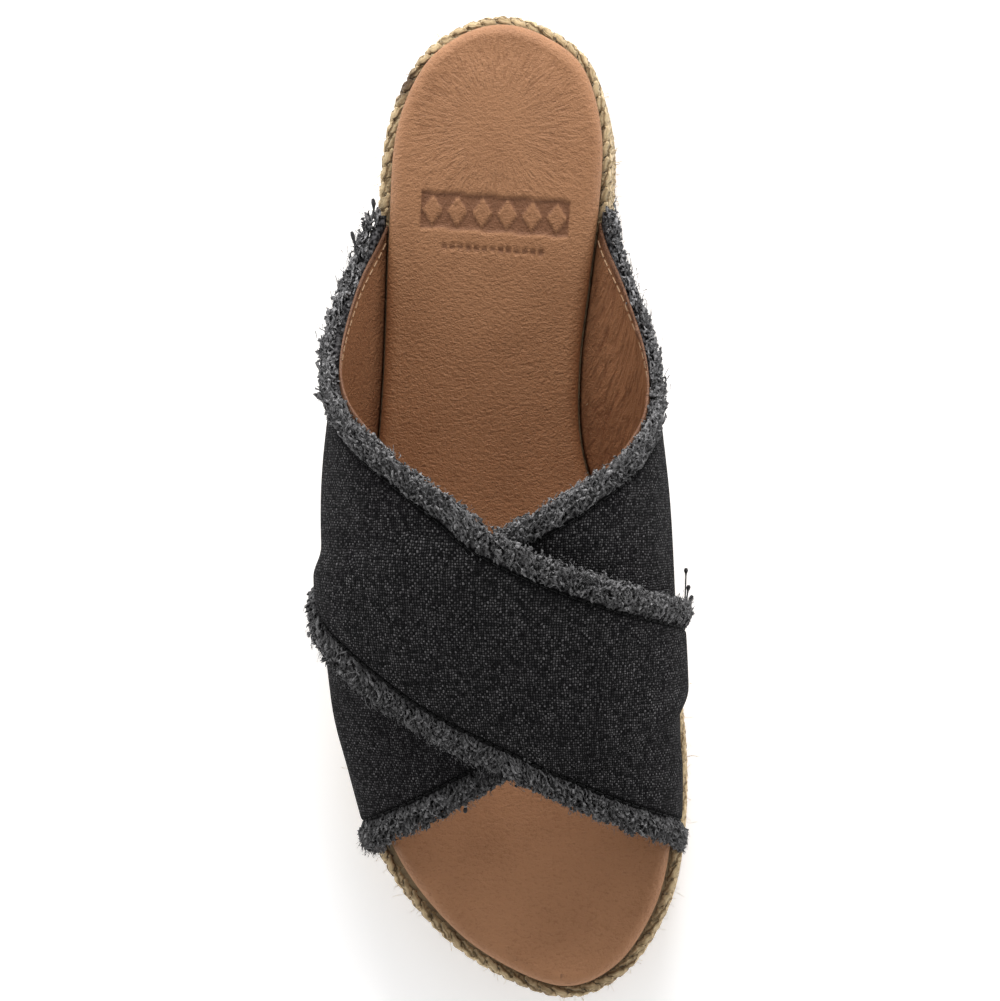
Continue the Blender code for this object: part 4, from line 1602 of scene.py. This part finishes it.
@dataclass
class PlaitedRows:
    """Rows of a flat plait of three jute strands, laid on edge along the sole's side."""

    name: str
    bed: FootBed
    node: str
    levels: list[tuple[Level, Level]]
    cycle: float = 11.7 * MM
    samples: int = 12
    strand_width: float = 3.7 * MM
    strand_thickness: float = 2.1 * MM
    weave_depth: float = 1.0 * MM
    facets: int = 8
    thinnest: float = 2.2 * MM
    core_gap: float = 0.5 * MM
    core_edge: float = 0.2 * MM

    def path(self, bottom: Level, top: Level) -> PlaitPath:
        """Path of one row round the sole.

        Args:
            bottom: Level of the row's lower side.
            top: Level of its upper side.

        Returns:
            The path, closed where the row is never thinner than its thinnest.
        """
        bed = self.bed
        ring = bed.ring(260)
        inset = self.weave_depth + 0.5 * self.strand_thickness
        offset = bed.margin(ring) - inset
        low = bed.placed(ring, offset, bottom)
        high = bed.placed(ring, offset, top)
        height = high[:, 2] - low[:, 2]
        outward = np.column_stack([ring.outward[:, 0], -ring.outward[:, 1], np.zeros(len(height))])
        centre = 0.5 * (low + high)
        keep = height > self.thinnest
        closed = bool(keep.all())
        if not closed:
            start = len(ring.along) // 2
            order = np.roll(np.arange(len(height)), -start)
            order = order[keep[order]]
            centre, outward, height = centre[order], outward[order], height[order]
        tangent = np.gradient(centre, axis=0)
        if closed:
            tangent = np.roll(centre, -1, 0) - np.roll(centre, 1, 0)
        up = np.cross(tangent, outward)
        up *= np.sign(up[:, 2:3])
        up /= np.linalg.norm(up, axis=1)[:, None]
        return PlaitPath(centre, outward, up, height, closed)

    def strands(self, path: PlaitPath) -> tuple[list[Array], Array]:
        """Centre lines of a row's three strands.

        Args:
            path: The row's path.

        Returns:
            Points of each strand, and the vectors across its thin side at all of them in turn. A strand lies
            flat on the plait's faces and folds over its edges, so those vectors turn as it goes round.
        """
        columns = [path.centre, path.outward, path.up, path.height[:, None]]
        table = np.hstack(columns)
        if path.closed:
            table = np.vstack([table, table[:1]])
        steps = np.linalg.norm(np.diff(table[:, :3], axis=0), axis=1)
        run = np.concatenate([[0.0], np.cumsum(steps)])
        cycles = max(round(run[-1] / self.cycle), 1)
        at = np.linspace(0.0, run[-1], cycles * self.samples + 1)
        rows = np.stack([np.interp(at, run, table[:, column]) for column in range(table.shape[1])], 1)
        centre, outward, up, height = rows[:, :3], rows[:, 3:6], rows[:, 6:9], rows[:, 9]
        lines = []
        thin = []
        for strand in range(3):
            phase = 2.0 * math.pi * (at * cycles / run[-1] + strand / 3.0)
            swing = 0.5 * np.maximum(height - self.strand_thickness, 0.0) * np.sin(phase)
            depth = -self.weave_depth * np.sin(2.0 * phase)
            fold = (phase - 0.25 * math.pi * np.sin(2.0 * phase))[:, None]
            lines.append(centre + up * swing[:, None] + outward * depth[:, None])
            thin.append(outward * np.cos(fold) - up * np.sin(fold))
        return lines, np.vstack(thin)

    def build(self, material: Material, core_material: Material) -> list[Piece]:
        """Lay the rows and the core behind them.

        Args:
            material: The strands.
            core_material: The core.

        Returns:
            The dressed pieces.
        """
        rows = [self.strands(self.path(bottom, top)) for bottom, top in self.levels]
        lines = [line for row, _ in rows for line in row]
        thin = np.vstack([vectors for _, vectors in rows])
        tree = Growth(
            self.name, material, Width=self.strand_width, Thickness=self.strand_thickness, Facets=self.facets
        )
        curve = tree.node("GeometryNodeMeshToCurve", {0: tree["Guide"]}).outputs[0]
        inputs = {"Curve": curve, "Normal": tree.named("thin")}
        framed = tree.node("GeometryNodeSetCurveNormal", inputs, mode="FREE").outputs[0]
        run = tree.node("GeometryNodeSplineParameter").outputs["Length"]
        measured = tree.store(framed, "run", run)
        size = tree.vector(tree["Thickness"], tree["Width"], 1.0)
        circle = tree.circle(tree["Facets"], 0.5)
        oval = tree.node("GeometryNodeTransform", {"Geometry": circle, "Scale": size})
        around = tree.vectors("DIVIDE", tree.spot(), size)
        profile = tree.store(oval.outputs[0], "around", around, kind="FLOAT_VECTOR")
        piece = tree.grow(path_mesh(self.name, lines, thin=thin), tree.tube(measured, profile))
        return [dress(piece, material, "jute", self.node), self.core(core_material)]

    def core(self, material: Material) -> Piece:
        """Make the filling behind the plaits.

        Args:
            material: The core's finish.

        Returns:
            The dressed piece.
        """
        bed = self.bed
        ring = bed.ring(70)
        offset = bed.margin(ring) - 2.0 * self.weave_depth - 0.5 * self.strand_thickness
        body = Body()
        bottom, top = self.levels[0][0], self.levels[-1][1]

        def inset_top(along: Array) -> Array:
            """Level of the core's top, a gap below the last row's."""
            return np.maximum(top(along) - self.core_gap, bottom(along) + self.core_edge)

        levels = (bottom, inset_top)
        layers = [bed.placed(ring, offset, level) for level in levels]
        numbers = [body.add(layer) for layer in layers]
        body.strip(numbers[0], numbers[1], True)
        for number, layer, level in zip(numbers, layers, levels):
            body.ladder(number, layer, 8, lambda points, level=level: bed.levelled(points, level))
        return dress(make_object(body.mesh(f"{self.name}_core")), material, "jute")


@dataclass
class Outsole:
    """Rubber sole with zigzag grooves in its tread."""

    bed: FootBed
    thickness: float = 3.5 * MM
    inset: float = 1.2 * MM
    edge_radius: float = 1.0 * MM
    border: float = 6.0 * MM
    groove_pitch: float = 6.0 * MM
    groove_depth: float = 1.1 * MM
    zigzag: float = 16.0 * MM

    def build(self, material: Material) -> Piece:
        """Make the outsole.

        Args:
            material: The rubber.

        Returns:
            The dressed piece.
        """
        bed = self.bed
        ring = bed.ring(230)
        offset = bed.margin(ring) - self.inset
        body = Body()
        corner = self.edge_radius
        levels = (
            (self.border, 0.0), (corner, 0.0), (0.3 * corner, 0.3 * corner),
            (0.0, corner), (0.0, self.thickness)
        )
        layers = [bed.placed(ring, offset - inset, self.above(up)) for inset, up in levels]
        numbers = [body.add(layer) for layer in layers]
        for lower, upper in zip(numbers, numbers[1:]):
            body.strip(lower, upper, True)
        body.ladder(numbers[0], layers[0], 70, self.tread)
        top = self.above(self.thickness)
        body.ladder(numbers[-1], layers[-1], 6, lambda points: bed.levelled(points, top))
        return dress(make_object(body.mesh("outsole_tread")), material, "outsole_rubber", "outsole")

    def above(self, up: Array) -> Level:
        """Level at a height above the sole's underside."""
        return lambda along: self.bed.toe_lift(along) + up

    def tread(self, points: Array) -> Array:
        """Points of the underside, with the grooves cut in."""
        fold = np.abs(np.mod(points[..., 0] / self.zigzag, 1.0) - 0.5) * self.zigzag * 0.7
        wave = np.sin(2.0 * np.pi * (points[..., 1] + fold) / self.groove_pitch)
        groove = self.groove_depth * smooth_step((wave - 0.1) / 0.35)
        return self.bed.levelled(points, self.above(groove))


@dataclass
class StrayFibres:
    """Fine hairs of jute that stand off the plaits."""

    name: str
    carrier: Piece
    density: float = 26000.0
    length: float = 4.0 * MM
    shortest: float = 0.3
    radius: float = 0.045 * MM
    waves: float = 260.0
    points: int = 6
    facets: int = 3
    seed: int = 5

    def build(self, material: Material) -> Piece:
        """Scatter the hairs.

        Args:
            material: The fibre.

        Returns:
            The dressed piece.
        """
        tree = Growth(
            self.name, material, Density=self.density, Length=self.length, Radius=self.radius, Seed=self.seed
        )
        spots = tree.node("GeometryNodeDistributePointsOnFaces", {
            "Mesh": tree["Guide"], "Density": tree["Density"], "Seed": tree["Seed"]
        })
        marked = tree.store(tree.line(self.points), "tip", tree.share())
        hair = tree.tube(marked, tree.circle(self.facets, tree["Radius"]), False)
        tilt = tree.node("FunctionNodeRandomValue", {
            0: (-1.0, -1.0, -1.0), 1: (1.0, 1.0, 1.0), "Seed": tree["Seed"]
        }, data_type="FLOAT_VECTOR").outputs[0]
        turned = tree.facing(tree.vectors("ADD", spots.outputs["Normal"], tilt))
        shorter = {2: self.shortest, 3: 1.0, "Seed": tree["Seed"]}
        draw = tree.node("FunctionNodeRandomValue", shorter, data_type="FLOAT").outputs[1]
        size = tree.vector(1.0, 1.0, tree.times(draw, tree["Length"]))
        planted = tree.planted(spots.outputs["Points"], hair, turned, size)
        reach = tree.times(tree["Length"], tree.named("tip", "FLOAT"))
        bent = tree.pushed(tree.real(planted), tree.spot(), self.waves, reach)
        guide = self.carrier.data.copy()
        guide.name = self.name
        return dress(tree.grow(guide, bent), material, "jute")


@dataclass
class Upper:
    """Both straps with their lining, frayed edges and seams."""

    last: Last
    lining_finish: LeatherFinish
    canvas_finish: CanvasFinish = CanvasFinish()
    yarn_finish: YarnFinish = YarnFinish("frayed_yarn", (0.012, 0.012, 0.013), (0.29, 0.285, 0.288))
    groove_thread: YarnFinish = YarnFinish("dark_thread", (0.004, 0.004, 0.004), (0.016, 0.016, 0.017))
    lining_thread: YarnFinish = YarnFinish("tan_thread", (0.34, 0.22, 0.13), (0.75, 0.56, 0.40))
    # The front edges' yarns get a lower paleness than the rear edges': painted shade on the side that faces
    # away from the light.
    paleness: dict[Edge, float] = field(default_factory=lambda: {Edge.REAR: 0.85, Edge.FRONT: 0.42})
    groove_sunk: float = 0.35 * MM
    lining_stitch_lift: float = 0.1 * MM

    def straps(self) -> list[Strap]:
        """The inner strap and the outer one that lies on it, with their creases."""
        inner = Strap("inner_strap", INNER_STRAP, self.last, (
            Crease((0.86, 0.36), (0.80, 0.62), 7.0 * MM, 0.7 * MM),
            Crease((0.72, 0.46), (0.66, 0.60), 5.0 * MM, -0.5 * MM),
            Crease((0.10, 0.66), (0.24, 0.78), 6.0 * MM, 0.6 * MM),
        ), Side.MEDIAL, 0.8 * MM)
        outer = Strap("outer_strap", OUTER_STRAP, self.last, (
            Crease((0.10, 0.36), (0.22, 0.58), 8.0 * MM, 0.9 * MM),
            Crease((0.22, 0.44), (0.34, 0.60), 5.0 * MM, -0.6 * MM),
            Crease((0.42, 0.56), (0.70, 0.74), 9.0 * MM, 0.7 * MM),
            Crease((0.74, 0.66), (0.92, 0.76), 6.0 * MM, -0.6 * MM),
            Crease((0.80, 0.74), (0.96, 0.80), 5.0 * MM, 0.5 * MM),
        ), Side.LATERAL, 3.0 * MM, inner=inner)
        return [inner, outer]

    def loose_ends(self, strap: Strap) -> LooseEnds:
        """The yarns that have come loose from one strap's fringe."""
        spots = (
            (Edge.REAR, 0.008, 1.6 * MM, 2.0 * MM), (Edge.REAR, 0.052, 1.8 * MM, 4.4 * MM),
            (Edge.REAR, 0.846, 8.0 * MM, 1.2 * MM), (Edge.REAR, 0.835, 3.4 * MM, 1.6 * MM),
            (Edge.REAR, 0.868, 1.0 * MM, 2.4 * MM),
        ) if strap.inner is not None else ((Edge.FRONT, 0.415, 1.2 * MM, -0.4 * MM),)
        return LooseEnds(f"{strap.name}_loose_ends", strap, spots)

    def spans(self, strap: Strap) -> dict[Edge, tuple[float, float]]:
        """Stretches of the girth where each edge's fringe is in sight."""
        if strap.inner is not None:
            return {Edge.REAR: (0.0, 1.0), Edge.FRONT: (0.0, 1.0)}
        return {Edge.REAR: (0.46, 1.0), Edge.FRONT: (0.0, 0.56)}

    def build(self) -> list[Piece]:
        """Make the upper.

        Returns:
            The dressed pieces.
        """
        canvas = self.canvas_finish.material()
        leather = self.lining_finish.material()
        yarn = self.yarn_finish.material()
        dark_thread = self.groove_thread.material()
        tan_thread = self.lining_thread.material()
        folds = (
            Crease((0.93, 0.47), (0.78, 0.33), 1.6 * MM, 0.32 * MM),
            Crease((0.92, 0.52), (0.76, 0.38), 1.4 * MM, -0.60 * MM),
            Crease((0.96, 0.42), (0.82, 0.28), 1.4 * MM, -0.60 * MM),
        )
        pieces = []
        for number, strap in enumerate(self.straps()):
            lining = Lining(strap, folds)
            pieces += [lining.build(leather), Canvas(strap).build(canvas)]
            spans = self.spans(strap)
            for edge, span in spans.items():
                for kind in (FRINGE, FUZZ):
                    seed = kind.first_seed + 10 * number + edge.value
                    tufts = Tufts(strap, kind, edge, span, self.paleness[edge], seed)
                    pieces.append(tufts.build(yarn))
            pieces.append(self.loose_ends(strap).build(yarn))
            grooves = []
            rims = []
            for edge, (first, last) in spans.items():
                girth = np.linspace(max(first, 0.01), min(last, 0.99), 240)
                stitched = strap.beyond(girth, edge, 0.0)
                grooves.append(strap.point(stitched, girth, strap.wall - self.groove_sunk))
                inside = lining.edge(girth, edge, lining.stitch_inset)
                rims.append(strap.point(inside, girth, self.lining_stitch_lift))
            seam = Seam(f"{strap.name}_seam", grooves, pitch=2.7 * MM, length=2.1 * MM, radius=0.24 * MM)
            pieces.append(seam.build(dark_thread))
            seam = Seam(f"{strap.name}_lining_seam", rims, pitch=2.9 * MM, length=2.1 * MM, radius=0.26 * MM)
            pieces.append(seam.build(tan_thread))
        return pieces


@dataclass
class Sole:
    """Outsole, plaited rows and the insole."""

    bed: FootBed
    insole_finish: LeatherFinish
    jute: JuteFinish = JuteFinish("plaited_jute", (0.63, 0.49, 0.30), (0.22, 0.145, 0.072))
    # The core's jute is a darker copy of the plaits' jute: painted shade for the deep gaps between the
    # strands.
    shaded_core_jute: JuteFinish = JuteFinish("jute_core", (0.26, 0.19, 0.11), (0.10, 0.065, 0.035))
    rubber: RubberFinish = RubberFinish()

    def rows(self) -> list[PlaitedRows]:
        """The platform's row, the wedge's rows and the rim's row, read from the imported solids."""
        bed = self.bed
        platform_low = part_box("jute_platform")[0]
        wedge_low, wedge_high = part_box("jute_wedge")
        rim_drop = bed.insole_thickness + bed.clearance
        rim_height = bed.ball_height - rim_drop - wedge_low.z
        base = platform_low.z
        row = wedge_low.z - bed.clearance - base
        count = round((wedge_high.z - wedge_low.z) / row)
        step = (wedge_high.z - wedge_low.z) / count
        cut = bed.under(rim_drop + rim_height + bed.clearance)

        def wedge_level(number: int) -> Level:
            """Level of the top of a wedge row, cut off under the rim."""
            return lambda along: np.minimum(wedge_low.z + number * step, cut(along))

        return [
            PlaitedRows("platform_plait", bed, "jute_platform", [
                (lambda along: bed.toe_lift(along) + base, lambda along: bed.toe_lift(along) + base + row)
            ]),
            PlaitedRows("wedge_plait", bed, "jute_wedge", [
                (wedge_level(number), wedge_level(number + 1)) for number in range(count)
            ]),
            PlaitedRows("rim_plait", bed, "jute_rim", [
                (bed.under(rim_drop + rim_height), bed.under(rim_drop))
            ]),
        ]

    def build(self) -> list[Piece]:
        """Make the sole.

        Returns:
            The dressed pieces.
        """
        strands = self.jute.material(True)
        core = self.shaded_core_jute.material(False)
        pieces = [Outsole(self.bed).build(self.rubber.material())]
        for rows in self.rows():
            laid = rows.build(strands, core)
            pieces += laid
            pieces.append(StrayFibres(f"{rows.name}_hairs", laid[0]).build(strands))
        pieces.append(Insole(self.bed, self.insole_finish).build())
        return pieces


@dataclass
class Studio:
    """White floor, soft light and the camera at the photograph's angle."""

    camera_place: tuple[float, float, float] = (57.0 * MM, 2.25 * MM, 1100.0 * MM)
    aim: tuple[float, float, float] = (-2.7 * MM, 2.75 * MM, 0.0)
    lens: float = 144.2
    floor_size: float = 12.0
    floor_colour: Colour = (0.93, 0.93, 0.935)
    floor_glow: float = 0.28
    zenith: float = 0.12
    horizon: float = 2.45
    heel_bias: float = 0.5
    lengthways_bias: float = 0.5
    lengthways_mean: float = 0.35
    contrast_gamma: float = 0.92
    lamps: tuple[tuple[Vector, float, float], ...] = (
        (Vector((0.05, 1.35, 0.95)), 0.7, 18.0),
    )

    def sky(self) -> bpy.types.World:
        """Soft light from all round, stronger from low down and from the heel's side."""
        world = bpy.data.worlds.new("studio")
        world.use_nodes = True
        wiring = Wiring(world.node_tree)
        direction = wiring.node("ShaderNodeTexCoord").outputs["Generated"]
        parts = wiring.node("ShaderNodeSeparateXYZ", {0: direction})
        height = wiring.node("ShaderNodeMapRange", {
            0: parts.outputs[2], 1: 0.0, 2: 1.0, 3: self.horizon, 4: self.zenith
        }).outputs[0]
        toward = parts.outputs[1]
        side = wiring.plus(1.0, wiring.times(toward, self.heel_bias))
        ends = wiring.maths("SUBTRACT", wiring.times(toward, toward), self.lengthways_mean)
        side = wiring.plus(side, wiring.times(ends, self.lengthways_bias))
        backdrop = world.node_tree.nodes["Background"]
        wiring.feed(backdrop.inputs["Color"], (1.0, 1.0, 1.0, 1.0))
        wiring.feed(backdrop.inputs["Strength"], wiring.times(height, side))
        return world

    def build(self) -> None:
        """Set up the stage, the lights and the camera."""
        scene = bpy.context.scene
        scene.view_settings.view_transform = "Standard"
        scene.view_settings.gamma = self.contrast_gamma
        mesh = bpy.data.meshes.new("floor")
        half = self.floor_size / 2.0
        mesh.from_pydata([(-half, -half, 0.0), (half, -half, 0.0), (half, half, 0.0), (-half, half, 0.0)], [],
                         [(0, 1, 2, 3)])
        floor = make_object(mesh)
        glow = {"Emission_Color": (1.0, 1.0, 1.0, 1.0), "Emission_Strength": self.floor_glow}
        paper = Recipe("white_paper", 0.8, **glow)
        mesh.materials.append(paper.finish((*self.floor_colour, 1.0), []))
        scene.world = self.sky()
        for number, (place, size, power) in enumerate(self.lamps):
            light = bpy.data.lights.new(f"softbox_{number}", "AREA")
            light.shape = "DISK"
            light.size = size
            light.energy = power
            lamp = bpy.data.objects.new(light.name, light)
            lamp.location = place
            lamp.rotation_euler = (-place).to_track_quat("-Z", "Y").to_euler()
            scene.collection.objects.link(lamp)
        camera = bpy.data.objects.new("camera", bpy.data.cameras.new("camera"))
        camera.data.lens = self.lens
        camera.data.sensor_width = 36.0
        back = (Vector(self.camera_place) - Vector(self.aim)).normalized()
        right = Vector((0.0, 1.0, 0.0)).cross(back).normalized()
        turn = Matrix((right, back.cross(right), back)).transposed()
        camera.matrix_world = Matrix.LocRotScale(Vector(self.camera_place), turn, None)
        scene.collection.objects.link(camera)
        scene.camera = camera


def main() -> None:
    """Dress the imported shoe."""
    logging.basicConfig(level=logging.INFO, format="%(name)s %(message)s")
    for item in list(bpy.data.objects):
        bpy.data.objects.remove(item, do_unlink=True)
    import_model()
    bed = FootBed.from_frame()
    Studio().build()
    insole_leather = LeatherFinish(
        "insole_leather", light=(0.375, 0.190, 0.094), dark=(0.285, 0.136, 0.063),
        pressed=(0.19, 0.085, 0.045)
    )
    # The lining's leather is a darker copy of the insole's: painted shade for the inside of the straps.
    shaded_lining_leather = LeatherFinish(
        "shaded_lining_leather", light=(0.330, 0.160, 0.078), dark=(0.235, 0.104, 0.048),
        pressed=(0.10, 0.045, 0.024), grain_depth=0.24 * MM, fold_depth=1.4 * MM
    )
    pieces = Sole(bed, insole_leather).build() + Upper(Last(bed), shaded_lining_leather).build()
    LOG.info("%d pieces", len(pieces))


if __name__ == "__main__":
    main()
